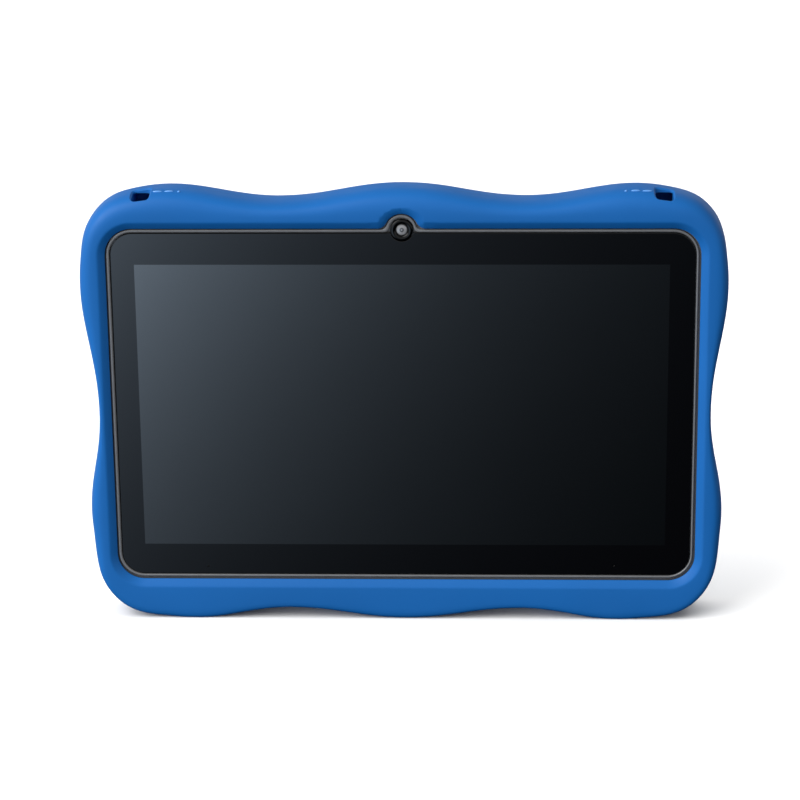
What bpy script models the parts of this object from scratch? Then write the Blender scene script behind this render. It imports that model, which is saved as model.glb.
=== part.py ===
"""Children's 7 inch tablet in a wavy silicone bumper case with a fold-out rear stand.

The tablet stands upright on the case's three bottom feet. +X is to the right of someone who looks
at the screen, +Y runs from the screen to the back and +Z is up. The origin is under the middle of
the case. Lengths are metres.
"""

import math

import bmesh
import bpy
from mathutils import Matrix, Vector

MM = 0.001
GAP = 0.3 * MM

# Case: outside size and the shape of its wavy edge
CASE_DEPTH = 17.5 * MM
CASE_EDGE_ROUND = 4.0 * MM
CASE_FRONT = -CASE_DEPTH / 2
CASE_BACK = CASE_DEPTH / 2
# Key points of the right half of the edge, from the top middle clockwise to the bottom middle
CASE_EDGE_POINTS = [
    (0.0, 130.9),  # middle crest of the top
    (34.6, 127.0),  # dip between two crests
    (75.9, 129.7),  # outer crest
    (88.6, 123.7),  # upper corner
    (93.4, 109.5),  # upper side bulge
    (89.5, 63.8),  # waist
    (93.2, 28.2),  # lower side bulge
    (86.7, 5.9),  # lower corner
    (67.7, -0.15),  # outer foot, trimmed flat at the floor
    (34.1, 3.1),  # arch between two feet
    (0.0, -0.15),  # middle foot, trimmed flat at the floor
]

# Tablet body, display and glass
BODY_WIDTH = 174.0 * MM
BODY_HEIGHT = 111.3 * MM
BODY_CENTRE_Z = 66.85 * MM
BODY_FRONT = -6.85 * MM
BODY_BACK = 3.35 * MM
BODY_CORNER = 9.0 * MM
BODY_WALL = 1.5 * MM
FRAME_DEPTH = 2.5 * MM
COVER_FRONT = BODY_FRONT + FRAME_DEPTH + GAP
COVER_FLOOR = BODY_BACK - BODY_WALL
INNER_X = BODY_WIDTH / 2 - BODY_WALL

GLASS_WIDTH = 168.2 * MM
GLASS_HEIGHT = 104.6 * MM
GLASS_CENTRE_Z = 66.0 * MM
GLASS_CORNER = 6.5 * MM
GLASS_FRONT = BODY_FRONT + 0.1 * MM
GLASS_BACK = GLASS_FRONT + 1.1 * MM
GLASS_FIT = 0.25 * MM
SHELF_WIDTH = 1.9 * MM
SHELF_FRONT = GLASS_BACK + 0.4 * MM

DISPLAY_CENTRE = (-0.3 * MM, 65.6 * MM)
LCD_WIDTH = 163.0 * MM
LCD_BOTTOM = 19.0 * MM
LCD_TOP = 113.0 * MM
LCD_CELL_FRONT = GLASS_BACK + GAP
LCD_CELL_BACK = LCD_CELL_FRONT + 1.2 * MM
BACKLIGHT_FRONT = LCD_CELL_BACK + 0.1 * MM
BACKLIGHT_BACK = -2.75 * MM

# Case lip round the screen, with its notch for the front camera
LIP_WIDTH = 171.2 * MM
LIP_HEIGHT = 107.6 * MM
LIP_CORNER = 8.0 * MM
LIP_SLOPE_WIDTH = 2.2 * MM
LIP_SLOPE_DEPTH = 1.1 * MM
CAMERA_Z = 119.3 * MM
NOTCH_RADIUS = 4.9 * MM
NOTCH_FILLET = 3.0 * MM
HUMP_RADIUS = 4.4 * MM
HUMP_FILLET = 2.0 * MM

# Back of the case and the stand
PANEL_BACK = 6.6 * MM
PANEL_WIDTH = 158.0 * MM
PANEL_BOTTOM = 17.5 * MM
PANEL_TOP = 113.5 * MM
PANEL_CORNER = 14.0 * MM
TRAY_WIDTH = 66.0 * MM
TRAY_BOTTOM = 20.0 * MM
TRAY_TOP = 104.0 * MM
TRAY_CORNER = 5.0 * MM
TRAY_WALL = 2.2 * MM
TRAY_FRONT = 5.1 * MM
TRAY_FLOOR = 5.85 * MM
TRAY_BACK = 8.6 * MM
HINGE_Z = 99.0 * MM
HINGE_Y = 7.35 * MM
LEG_THICKNESS = 2.5 * MM
LEG_WIDTH = 60.4 * MM
LEG_BOTTOM = 29.0 * MM
LEG_CORNER = 12.0 * MM
PIN_RADIUS = 0.70 * MM
PIN_BORE_RADIUS = 0.78 * MM
PIN_HALF_LENGTH = 32.1 * MM

# Strap slots in the top corners: down from the top, then out at the back
STRAP_X = 74.9 * MM
STRAP_WIDTH = 5.2 * MM
STRAP_FRONT = -7.0 * MM
STRAP_REAR = -0.6 * MM
STRAP_FLOOR = 123.5 * MM
STRAP_CEILING = 127.5 * MM
STRAP_SHAFT = (4.6 * MM, 6.8 * MM)
STRAP_EXIT = (116.5 * MM, 121.5 * MM)
STRAP_ROUND = 0.5 * MM

# Side openings of the case, over the ports and the buttons
WINDOW_FRONT = -4.0 * MM
WINDOW_BACK = 3.4 * MM
PORT_WINDOW = (42.0 * MM, 88.0 * MM)
BUTTON_WINDOW = (47.0 * MM, 87.0 * MM)

# Boards and what is on them
BOARD_FRONT = -0.25 * MM
BOARD_BACK = 0.75 * MM
BOARD_X = (-84.9 * MM, -20.0 * MM)
BOARD_Z = (36.0 * MM, 98.0 * MM)
CHIP_SEAT = BOARD_FRONT - 0.05 * MM
USB_Z = 66.0 * MM
JACK_Z = 80.0 * MM
CARD_Z = 51.0 * MM
USB_Y = -0.77 * MM
JACK_Y = -0.375 * MM
CARD_Y = -1.3 * MM
BOARD_SCREWS = [
    (-81.0 * MM, 94.0 * MM),
    (-24.0 * MM, 78.0 * MM),
    (-81.0 * MM, 39.5 * MM),
    (-24.0 * MM, 39.5 * MM),
]
BUTTONS = {"power": 78.0 * MM, "volume_up": 66.0 * MM, "volume_down": 55.0 * MM}
BUTTON_LENGTH = 7.6 * MM
BUTTON_DEPTH = 2.2 * MM
BUTTON_Y = -0.3 * MM
BUTTON_PROUD = 0.7 * MM
BUTTON_FIT = 0.15 * MM
REAR_CAMERA = (-62.0 * MM, 106.0 * MM)
SPEAKER_X = (45.0 * MM, 75.0 * MM)
SPEAKER_Z = (17.5 * MM, 28.5 * MM)
GRILLE_SLOTS = 4
MICROPHONE = (-58.7 * MM, 16.0 * MM)
STATUS_LIGHT = (61.8 * MM, 16.6 * MM)
PINHOLE_RADIUS = 0.35 * MM
PINHOLE_ROOM = 1.65 * MM


# ---------------------------------------------------------------- scene and materials

def clear_scene():
    for thing in list(bpy.data.objects):
        bpy.data.objects.remove(thing, do_unlink=True)


def new_collection(name):
    collection = bpy.data.collections.new(name)
    bpy.context.scene.collection.children.link(collection)
    return collection


def material(name, red, green, blue, roughness, metallic=0.0):
    made = bpy.data.materials.get(name)
    if made is None:
        made = bpy.data.materials.new(name)
        made.use_nodes = True
        shader = made.node_tree.nodes["Principled BSDF"]
        shader.inputs["Base Color"].default_value = (red, green, blue, 1.0)
        shader.inputs["Roughness"].default_value = roughness
        shader.inputs["Metallic"].default_value = metallic
    return made


def silicone_blue():
    return material("silicone_blue", 0.022, 0.13, 0.47, 0.55)


def black_plastic():
    return material("black_plastic", 0.012, 0.012, 0.014, 0.45)


def bezel_grey():
    return material("bezel_grey", 0.12, 0.11, 0.105, 0.35, 0.3)


def black_glass():
    return material("black_glass", 0.006, 0.007, 0.010, 0.05)


def stand_blue():
    return material("stand_blue", 0.012, 0.075, 0.30, 0.40)


def steel():
    return material("steel", 0.55, 0.56, 0.58, 0.30, 1.0)


def board_green():
    return material("board_green", 0.01, 0.11, 0.05, 0.45)


def chip_black():
    return material("chip_black", 0.02, 0.02, 0.022, 0.55)


def flex_amber():
    return material("flex_amber", 0.45, 0.20, 0.03, 0.40)


def wire_red():
    return material("wire_red", 0.50, 0.02, 0.02, 0.50)


def wire_black():
    return material("wire_black", 0.015, 0.015, 0.015, 0.50)


# ---------------------------------------------------------------- shapes

def arc(centre_x, centre_z, radius, start, stop, steps):
    """Points on a circle from the start angle to the stop angle, in degrees."""
    points = []
    for step in range(steps + 1):
        angle = math.radians(start + (stop - start) * step / steps)
        points.append((centre_x + radius * math.cos(angle), centre_z + radius * math.sin(angle)))
    return points


def rounded_rectangle(width, height, corner, centre=(0.0, 0.0), steps=5):
    """Corner arcs of a rectangle, anticlockwise from the lower right."""
    half_x = width / 2 - corner
    half_z = height / 2 - corner
    points = []
    for quarter, (side, level) in enumerate([(1, -1), (1, 1), (-1, 1), (-1, -1)]):
        start = -90 + 90 * quarter
        middle = (centre[0] + side * half_x, centre[1] + level * half_z)
        points += arc(*middle, corner, start, start + 90, steps)
    return points


def rectangle_with_hump(width, height, corner, centre_z, hump_radius, fillet):
    """A rounded rectangle whose top edge swells round the front camera."""
    points = rounded_rectangle(width, height, corner, (0.0, centre_z))
    top = centre_z + height / 2
    rise = top + fillet - CAMERA_Z
    fillet_x = math.sqrt((hump_radius + fillet) ** 2 - rise ** 2)
    lean = math.degrees(math.atan2(rise, fillet_x))
    hump = arc(fillet_x, top + fillet, fillet, -90, lean - 180, 4)
    hump += arc(0.0, CAMERA_Z, hump_radius, lean, 180 - lean, 10)[1:-1]
    hump += arc(-fillet_x, top + fillet, fillet, -lean, -90, 4)
    after_upper_right = len(points) // 2
    return points[:after_upper_right] + hump + points[after_upper_right:]


def add_to(collection, name, mesh, finish=None):
    shape = bpy.data.objects.new(name, mesh)
    collection.objects.link(shape)
    if finish is not None:
        mesh.materials.clear()
        mesh.materials.append(finish)
    return shape


def outline_curve(name, points, half_wall, edge_round, segments):
    """A flat filled outline, extruded both ways, with rounded edges inside the outline."""
    curve = bpy.data.curves.new(name, "CURVE")
    curve.dimensions = "2D"
    curve.fill_mode = "BOTH"
    curve.extrude = half_wall
    curve.bevel_depth = edge_round
    curve.bevel_resolution = segments
    curve.offset = -edge_round
    spline = curve.splines.new("POLY")
    spline.points.add(len(points) - 1)
    for point, (x, z) in zip(spline.points, points):
        point.co = (x, z, 0.0, 1.0)
    spline.use_cyclic_u = True
    return curve


def mesh_from_curve(name, curve, place):
    """The curve's mesh in world space, with its loose caps joined on."""
    drawn = bpy.data.objects.new(name + "_curve", curve)
    bpy.context.scene.collection.objects.link(drawn)
    drawn.matrix_world = place
    graph = bpy.context.evaluated_depsgraph_get()
    mesh = bpy.data.meshes.new_from_object(drawn.evaluated_get(graph))
    mesh.name = name
    mesh.transform(place)
    bpy.data.objects.remove(drawn, do_unlink=True)
    shape = bmesh.new()
    shape.from_mesh(mesh)
    bmesh.ops.remove_doubles(shape, verts=shape.verts, dist=0.002 * MM)
    bmesh.ops.recalc_face_normals(shape, faces=shape.faces)
    shape.to_mesh(mesh)
    shape.free()
    return mesh


def plate(collection, name, points, front, back, finish=None, edge_round=0.0, segments=1):
    """A solid of the given front outline (x, z) between two depths along Y."""
    middle = (front + back) / 2
    half_wall = (back - front) / 2 - edge_round
    curve = outline_curve(name, points, half_wall, edge_round, segments)
    place = Matrix.Translation((0.0, middle, 0.0)) @ Matrix.Rotation(math.radians(90), 4, "X")
    shape = add_to(collection, name, mesh_from_curve(name, curve, place), finish)
    shape.data.shade_smooth()
    shape.data.set_sharp_from_angle(angle=math.radians(35))
    return shape


def side_profile(collection, name, points, left, right, finish=None, edge_round=0.0):
    """A solid of the given side outline (y, z) between two places along X."""
    curve = outline_curve(name, points, (right - left) / 2 - edge_round, edge_round, 1)
    turn = Matrix(((0, 0, 1, (left + right) / 2), (1, 0, 0, 0), (0, 1, 0, 0), (0, 0, 0, 1)))
    return add_to(collection, name, mesh_from_curve(name, curve, turn), finish)


def box(collection, name, low, high, finish=None, bevel=0.0):
    """A block between two corners, its edges eased by a bevel where one is given."""
    low, high = Vector(low), Vector(high)
    bpy.ops.mesh.primitive_cube_add(size=1.0, location=(low + high) / 2)
    shape = bpy.context.active_object
    shape.scale = high - low
    bpy.ops.object.transform_apply(location=False, rotation=False, scale=True)
    settle(shape, collection, name, finish)
    if bevel > 0.0:
        ease = shape.modifiers.new("eased_edges", "BEVEL")
        ease.width = bevel
        ease.segments = 2
        ease.limit_method = "ANGLE"
    return shape


def cylinder(collection, name, centre, axis, radius, length, finish=None, sides=24):
    """A round bar along X, Y or Z."""
    turns = {"X": (0.0, math.radians(90), 0.0), "Y": (math.radians(90), 0.0, 0.0), "Z": (0.0, 0.0, 0.0)}
    bpy.ops.mesh.primitive_cylinder_add(
        vertices=sides, radius=radius, depth=length, location=centre, rotation=turns[axis]
    )
    shape = bpy.context.active_object
    settle(shape, collection, name, finish)
    shape.data.shade_smooth()
    shape.data.set_sharp_from_angle(angle=math.radians(40))
    return shape


def settle(shape, collection, name, finish):
    for owner in list(shape.users_collection):
        owner.objects.unlink(shape)
    collection.objects.link(shape)
    shape.name = name
    shape.data.name = name
    if finish is not None:
        shape.data.materials.append(finish)


def turned(collection, name, profile, x, z, finish, sides=32):
    """A ring or disc turned about an axis along Y; the profile is (radius, y), front to back."""
    mesh = bpy.data.meshes.new(name)
    closed = profile[0][0] > 0.0
    count = len(profile)
    joins = [(index, index + 1) for index in range(count - 1)]
    if closed:
        joins.append((count - 1, 0))
    mesh.from_pydata([(radius, 0.0, -y) for radius, y in profile], joins, [])
    shape = add_to(collection, name, mesh, finish)
    shape.location = (x, 0.0, z)
    shape.rotation_euler = (math.radians(90), 0.0, 0.0)
    spin = shape.modifiers.new("turn", "SCREW")
    spin.steps = sides
    spin.render_steps = sides
    spin.use_merge_vertices = True
    spin.merge_threshold = 0.005 * MM
    return shape


def lead(collection, name, points, radius, finish):
    """A round wire through the given points, on one smooth curve."""
    curve = bpy.data.curves.new(name, "CURVE")
    curve.dimensions = "3D"
    curve.bevel_depth = radius
    curve.bevel_resolution = 1
    curve.use_fill_caps = True
    curve.resolution_u = 6
    spline = curve.splines.new("BEZIER")
    spline.bezier_points.add(len(points) - 1)
    for point, place in zip(spline.bezier_points, points):
        point.co = [value * MM for value in place]
        point.handle_left_type = "AUTO"
        point.handle_right_type = "AUTO"
    return add_to(collection, name, mesh_from_curve(name, curve, Matrix.Identity(4)), finish)


def cut(target, *tools):
    for tool in tools:
        step = target.modifiers.new("cut_" + tool.name, "BOOLEAN")
        step.operation = "DIFFERENCE"
        step.object = tool
        tool.hide_render = True
        tool.display_type = "WIRE"


def join(target, *additions):
    for addition in additions:
        step = target.modifiers.new("join_" + addition.name, "BOOLEAN")
        step.operation = "UNION"
        step.object = addition
        addition.hide_render = True
        addition.display_type = "WIRE"


def keep_common(target, tool):
    step = target.modifiers.new("keep_" + tool.name, "BOOLEAN")
    step.operation = "INTERSECT"
    step.object = tool
    tool.hide_render = True
    tool.display_type = "WIRE"


# ---------------------------------------------------------------- case

def case_edge():
    """The whole wavy edge, as a smooth closed curve through the key points of both halves."""
    right = [(x * MM, z * MM) for x, z in CASE_EDGE_POINTS]
    left = [(-x, z) for x, z in reversed(right[1:-1])]
    curve = bpy.data.curves.new("case_edge", "CURVE")
    curve.dimensions = "2D"
    curve.fill_mode = "NONE"
    curve.resolution_u = 6
    spline = curve.splines.new("BEZIER")
    spline.bezier_points.add(len(right + left) - 1)
    for point, (x, z) in zip(spline.bezier_points, right + left):
        point.co = (x, z, 0.0)
        point.handle_left_type = "AUTO"
        point.handle_right_type = "AUTO"
    spline.use_cyclic_u = True
    drawn = bpy.data.objects.new("case_edge", curve)
    bpy.context.scene.collection.objects.link(drawn)
    graph = bpy.context.evaluated_depsgraph_get()
    mesh = bpy.data.meshes.new_from_object(drawn.evaluated_get(graph))
    points = [(vertex.co.x, vertex.co.y) for vertex in mesh.vertices]
    bpy.data.objects.remove(drawn, do_unlink=True)
    bpy.data.meshes.remove(mesh)
    return points


def lip_outline():
    return rectangle_with_hump(
        LIP_WIDTH, LIP_HEIGHT, LIP_CORNER, GLASS_CENTRE_Z, NOTCH_RADIUS, NOTCH_FILLET
    )


def lip_slope_cutter(tools):
    """The funnel that gives the lip its sloped inner edge: half of a bevelled plate, flattened.

    It starts a little inside the opening, so that its narrow end is clear of the opening's wall.
    """
    inset = 0.2 * MM
    curve = outline_curve("lip_slope", lip_outline(), 0.5 * MM, LIP_SLOPE_WIDTH + inset, 0)
    curve.offset = -inset
    squash = LIP_SLOPE_DEPTH / LIP_SLOPE_WIDTH
    turn = Matrix.Rotation(math.radians(90), 4, "X") @ Matrix.Diagonal((1.0, 1.0, squash, 1.0))
    place = Matrix.Translation((0.0, CASE_FRONT - 0.1 * MM, 0.0)) @ turn
    return add_to(tools, "lip_slope", mesh_from_curve("lip_slope", curve, place))


def strap_slot(tools, side, label):
    """One strap slot: a well from the top leads over the cavity and down to an exit in the back."""
    above = 140 * MM
    behind = 12 * MM
    points = [
        (STRAP_FRONT, STRAP_FLOOR), (STRAP_SHAFT[0], STRAP_FLOOR), (STRAP_SHAFT[0], STRAP_EXIT[0]),
        (behind, STRAP_EXIT[0]), (behind, STRAP_EXIT[1]), (STRAP_SHAFT[1], STRAP_EXIT[1]),
        (STRAP_SHAFT[1], STRAP_CEILING), (STRAP_REAR, STRAP_CEILING), (STRAP_REAR, above),
        (STRAP_FRONT, above),
    ]
    left = side * STRAP_X - STRAP_WIDTH / 2
    return side_profile(tools, "strap_slot_" + label, points, left, left + STRAP_WIDTH, None, STRAP_ROUND)


def window_points(low, high):
    """An upright slot with round ends, seen from the side, as (y, z)."""
    radius = (WINDOW_BACK - WINDOW_FRONT) / 2
    middle = (WINDOW_BACK + WINDOW_FRONT) / 2
    return arc(middle, high - radius, radius, 0, 180, 8) + arc(middle, low + radius, radius, 180, 360, 8)


def build_case(parts, tools):
    case = plate(
        parts, "silicone_case", case_edge(), CASE_FRONT, CASE_BACK, silicone_blue(), CASE_EDGE_ROUND, 2
    )
    body = rounded_rectangle(
        BODY_WIDTH + 2 * GAP, BODY_HEIGHT + 2 * GAP, BODY_CORNER + GAP, (0.0, BODY_CENTRE_Z)
    )
    panel = rounded_rectangle(
        PANEL_WIDTH, PANEL_TOP - PANEL_BOTTOM, PANEL_CORNER, (0.0, (PANEL_TOP + PANEL_BOTTOM) / 2)
    )
    tray = tray_outline(GAP)
    cut(
        case,
        box(tools, "floor_trim", (-0.2, -0.05, -0.02), (0.2, 0.05, 0.0)),
        plate(tools, "tablet_cavity", body, BODY_FRONT - GAP, BODY_BACK + GAP),
        plate(tools, "lip_opening", lip_outline(), -20 * MM, COVER_FRONT),
        lip_slope_cutter(tools),
        plate(tools, "back_recess", panel, PANEL_BACK, 20 * MM),
        plate(tools, "tray_pocket", tray, TRAY_FRONT - 0.1 * MM, 18 * MM),
        side_profile(tools, "port_window", window_points(*PORT_WINDOW), -0.12, -80 * MM),
        side_profile(tools, "button_window", window_points(*BUTTON_WINDOW), 80 * MM, 0.12),
        case_camera_window(tools),
        case_speaker_window(tools),
        strap_slot(tools, -1, "left"),
        strap_slot(tools, 1, "right"),
    )
    return case


def case_camera_window(tools):
    """A funnel through the back panel that keeps the silicone out of the rear camera's view."""
    mesh = bpy.data.meshes.new("camera_window")
    shape = bmesh.new()
    place = Matrix.Translation((REAR_CAMERA[0], 5.5 * MM, REAR_CAMERA[1]))
    bmesh.ops.create_cone(
        shape, cap_ends=True, segments=32, radius1=9.0 * MM, radius2=6.6 * MM, depth=6.0 * MM,
        matrix=place @ Matrix.Rotation(math.radians(90), 4, "X"),
    )
    shape.to_mesh(mesh)
    shape.free()
    return add_to(tools, "camera_window", mesh)


def case_speaker_window(tools):
    middle = ((SPEAKER_X[0] + SPEAKER_X[1]) / 2, (SPEAKER_Z[0] + SPEAKER_Z[1]) / 2)
    points = rounded_rectangle(28 * MM, 8 * MM, 3.9 * MM, middle)
    return plate(tools, "speaker_window", points, 2.5 * MM, 15 * MM)


# ---------------------------------------------------------------- stand

def tray_outline(margin=0.0):
    middle = (0.0, (TRAY_TOP + TRAY_BOTTOM) / 2)
    return rounded_rectangle(
        TRAY_WIDTH + 2 * margin, TRAY_TOP - TRAY_BOTTOM + 2 * margin, TRAY_CORNER + margin, middle
    )


def build_stand(parts, tools):
    inner_width = TRAY_WIDTH - 2 * TRAY_WALL
    inner_height = TRAY_TOP - TRAY_BOTTOM - 2 * TRAY_WALL
    middle = (0.0, (TRAY_TOP + TRAY_BOTTOM) / 2)
    tray = plate(parts, "kickstand_tray", tray_outline(), TRAY_FRONT, TRAY_BACK, stand_blue())
    dish = rounded_rectangle(inner_width, inner_height, TRAY_CORNER - TRAY_WALL, middle)
    cut(
        tray,
        plate(tools, "tray_dish", dish, TRAY_FLOOR, 15 * MM),
        cylinder(
            tools, "tray_pin_hole", (0.0, HINGE_Y, HINGE_Z), "X",
            PIN_BORE_RADIUS, 2 * (PIN_HALF_LENGTH + 0.1 * MM),
        ),
    )
    cylinder(
        parts, "kickstand_pin", (0.0, HINGE_Y, HINGE_Z), "X", PIN_RADIUS, 2 * PIN_HALF_LENGTH, steel(),
        sides=20,
    )
    build_leg(parts, tools)


def build_leg(parts, tools):
    """A flat leg whose top is a full round about the hinge pin; its origin is on the hinge axis."""
    radius = LEG_THICKNESS / 2
    side_points = arc(HINGE_Y, HINGE_Z, radius, 0, 180, 8)
    side_points += [(HINGE_Y - radius, LEG_BOTTOM - 2 * MM), (HINGE_Y + radius, LEG_BOTTOM - 2 * MM)]
    reach = LEG_WIDTH / 2 + MM
    leg = side_profile(parts, "kickstand_leg", side_points, -reach, reach, stand_blue())
    top = HINGE_Z + 20 * MM
    face = rounded_rectangle(LEG_WIDTH, top - LEG_BOTTOM, LEG_CORNER, (0.0, (top + LEG_BOTTOM) / 2))
    keep_common(leg, plate(tools, "leg_outline", face, 0.0, 15 * MM))
    thumb = rounded_rectangle(34 * MM, 40 * MM, 8 * MM, (0.0, 62 * MM))
    cut(
        leg,
        cylinder(tools, "leg_pin_hole", (0.0, HINGE_Y, HINGE_Z), "X", PIN_BORE_RADIUS, 80 * MM),
        plate(tools, "leg_recess", thumb, HINGE_Y + radius - 0.7 * MM, 15 * MM),
    )
    hinge = Vector((0.0, HINGE_Y, HINGE_Z))
    leg.data.transform(Matrix.Translation(-hinge))
    leg.location = hinge


# ---------------------------------------------------------------- tablet housing

def pinhole_tool(tools, name, place, radius, sides=16):
    """A cylinder along Y through the front at an (x, z) place."""
    return cylinder(tools, name, (place[0], -5 * MM, place[1]), "Y", radius, 12 * MM, sides=sides)


def build_front_frame(parts, tools):
    outer = rectangle_with_hump(
        BODY_WIDTH, BODY_HEIGHT, BODY_CORNER, BODY_CENTRE_Z, HUMP_RADIUS, HUMP_FILLET
    )
    frame = plate(parts, "front_frame", outer, BODY_FRONT, BODY_FRONT + FRAME_DEPTH, bezel_grey())
    seat = rounded_rectangle(
        GLASS_WIDTH + 2 * GLASS_FIT, GLASS_HEIGHT + 2 * GLASS_FIT, GLASS_CORNER + GLASS_FIT,
        (0.0, GLASS_CENTRE_Z),
    )
    inside = rounded_rectangle(
        GLASS_WIDTH - 2 * SHELF_WIDTH, GLASS_HEIGHT - 2 * SHELF_WIDTH, GLASS_CORNER - SHELF_WIDTH,
        (0.0, GLASS_CENTRE_Z),
    )
    cut(
        frame,
        plate(tools, "glass_seat", seat, -15 * MM, SHELF_FRONT),
        plate(tools, "frame_window", inside, -15 * MM, 5 * MM),
        cylinder(tools, "camera_seat", (0.0, -5 * MM, CAMERA_Z), "Y", 3.4 * MM, 12 * MM, sides=32),
        pinhole_tool(tools, "microphone_room", MICROPHONE, PINHOLE_ROOM),
        pinhole_tool(tools, "light_room", STATUS_LIGHT, PINHOLE_ROOM),
    )


def build_rear_cover(parts, tools):
    outer = rounded_rectangle(BODY_WIDTH, BODY_HEIGHT, BODY_CORNER, (0.0, BODY_CENTRE_Z))
    inner = rounded_rectangle(
        BODY_WIDTH - 2 * BODY_WALL, BODY_HEIGHT - 2 * BODY_WALL, BODY_CORNER - BODY_WALL,
        (0.0, BODY_CENTRE_Z),
    )
    cover = plate(parts, "rear_cover", outer, -12 * MM, BODY_BACK, black_plastic(), 2.0 * MM, 1)
    cut(
        cover,
        box(tools, "cover_trim", (-0.2, -0.05, -0.1), (0.2, COVER_FRONT, 0.3)),
        plate(tools, "cover_inside", inner, -20 * MM, COVER_FLOOR),
    )
    bosses = []
    for number, (x, z) in enumerate(BOARD_SCREWS, start=1):
        middle = (BOARD_BACK + 0.1 * MM + COVER_FLOOR + 0.3 * MM) / 2
        length = COVER_FLOOR + 0.3 * MM - BOARD_BACK - 0.1 * MM
        bosses.append(cylinder(tools, f"boss_{number}", (x, middle, z), "Y", 2.2 * MM, length, sides=20))
    join(cover, *bosses)
    for number, (x, z) in enumerate(BOARD_SCREWS, start=1):
        hole = cylinder(tools, f"boss_hole_{number}", (x, 0.8 * MM, z), "Y", 0.75 * MM, 4 * MM, sides=16)
        cut(cover, hole)
    cut(cover, *cover_openings(tools))


def cover_openings(tools):
    """Openings for the ports, the buttons, the rear camera, the front camera's body and the speaker."""
    outside = -BODY_WIDTH / 2 - 3 * MM
    inside = -INNER_X + 1 * MM
    openings = [
        side_profile(tools, "usb_opening", usb_outline(0.2 * MM), outside, inside),
        cylinder(tools, "jack_opening", (-86 * MM, JACK_Y, JACK_Z), "X", 2.7 * MM, 5 * MM),
        box(
            tools, "card_opening",
            (outside, CARD_Y - 0.9 * MM, CARD_Z - 6.2 * MM), (inside, CARD_Y + 0.9 * MM, CARD_Z + 6.2 * MM),
        ),
        cylinder(
            tools, "rear_camera_opening", (REAR_CAMERA[0], 2 * MM, REAR_CAMERA[1]), "Y", 4.5 * MM, 6 * MM
        ),
        box(tools, "front_camera_room", (-3.2 * MM, -8 * MM, 115 * MM), (3.2 * MM, 1 * MM, 122 * MM)),
    ]
    half_depth = BUTTON_DEPTH / 2 + BUTTON_FIT
    half_length = BUTTON_LENGTH / 2 + BUTTON_FIT
    for name, level in BUTTONS.items():
        openings.append(
            box(
                tools, name + "_opening",
                (INNER_X - 1 * MM, BUTTON_Y - half_depth, level - half_length),
                (95 * MM, BUTTON_Y + half_depth, level + half_length),
            )
        )
    for slot in range(GRILLE_SLOTS):
        level = SPEAKER_Z[0] + 2.9 * MM + slot * 1.8 * MM
        openings.append(
            box(
                tools, f"grille_slot_{slot + 1}",
                (SPEAKER_X[0] + 4 * MM, 0.5 * MM, level - 0.4 * MM),
                (SPEAKER_X[1] - 4 * MM, 6 * MM, level + 0.4 * MM),
            )
        )
    return openings


def build_glass(parts, tools):
    outline = rounded_rectangle(GLASS_WIDTH, GLASS_HEIGHT, GLASS_CORNER, (0.0, GLASS_CENTRE_Z))
    glass = plate(parts, "cover_glass", outline, GLASS_FRONT, GLASS_BACK, black_glass())
    cut(
        glass,
        cylinder(tools, "glass_camera_bite", (0.0, -6 * MM, CAMERA_Z), "Y", 3.4 * MM, 8 * MM, sides=32),
        pinhole_tool(tools, "pinhole_left", MICROPHONE, PINHOLE_RADIUS, 12),
        pinhole_tool(tools, "pinhole_right", STATUS_LIGHT, PINHOLE_RADIUS, 12),
    )
    outer = rounded_rectangle(
        GLASS_WIDTH - 0.6 * MM, GLASS_HEIGHT - 0.6 * MM, GLASS_CORNER - 0.3 * MM, (0.0, GLASS_CENTRE_Z)
    )
    inner = rounded_rectangle(
        GLASS_WIDTH - 2 * SHELF_WIDTH, GLASS_HEIGHT - 2 * SHELF_WIDTH, GLASS_CORNER - SHELF_WIDTH,
        (0.0, GLASS_CENTRE_Z),
    )
    tape_gap = 0.08 * MM
    tape = plate(
        parts, "glass_tape", outer, GLASS_BACK + tape_gap, SHELF_FRONT - tape_gap, black_plastic()
    )
    cut(
        tape,
        plate(tools, "tape_window", inner, -15 * MM, 5 * MM),
        cylinder(tools, "tape_camera_bite", (0.0, -5 * MM, CAMERA_Z), "Y", 3.6 * MM, 12 * MM),
        pinhole_tool(tools, "tape_microphone_bite", MICROPHONE, PINHOLE_ROOM),
        pinhole_tool(tools, "tape_light_bite", STATUS_LIGHT, PINHOLE_ROOM),
    )


def build_display(parts, tools):
    left = DISPLAY_CENTRE[0] - LCD_WIDTH / 2
    right = DISPLAY_CENTRE[0] + LCD_WIDTH / 2
    box(
        parts, "lcd_cell",
        (left, LCD_CELL_FRONT, LCD_BOTTOM), (right, LCD_CELL_BACK, LCD_TOP), black_glass(),
    )
    box(
        parts, "backlight_unit",
        (left, BACKLIGHT_FRONT, LCD_BOTTOM + 0.8 * MM), (right, BACKLIGHT_BACK, LCD_TOP), steel(),
    )


# ---------------------------------------------------------------- cameras, ports and sound

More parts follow.
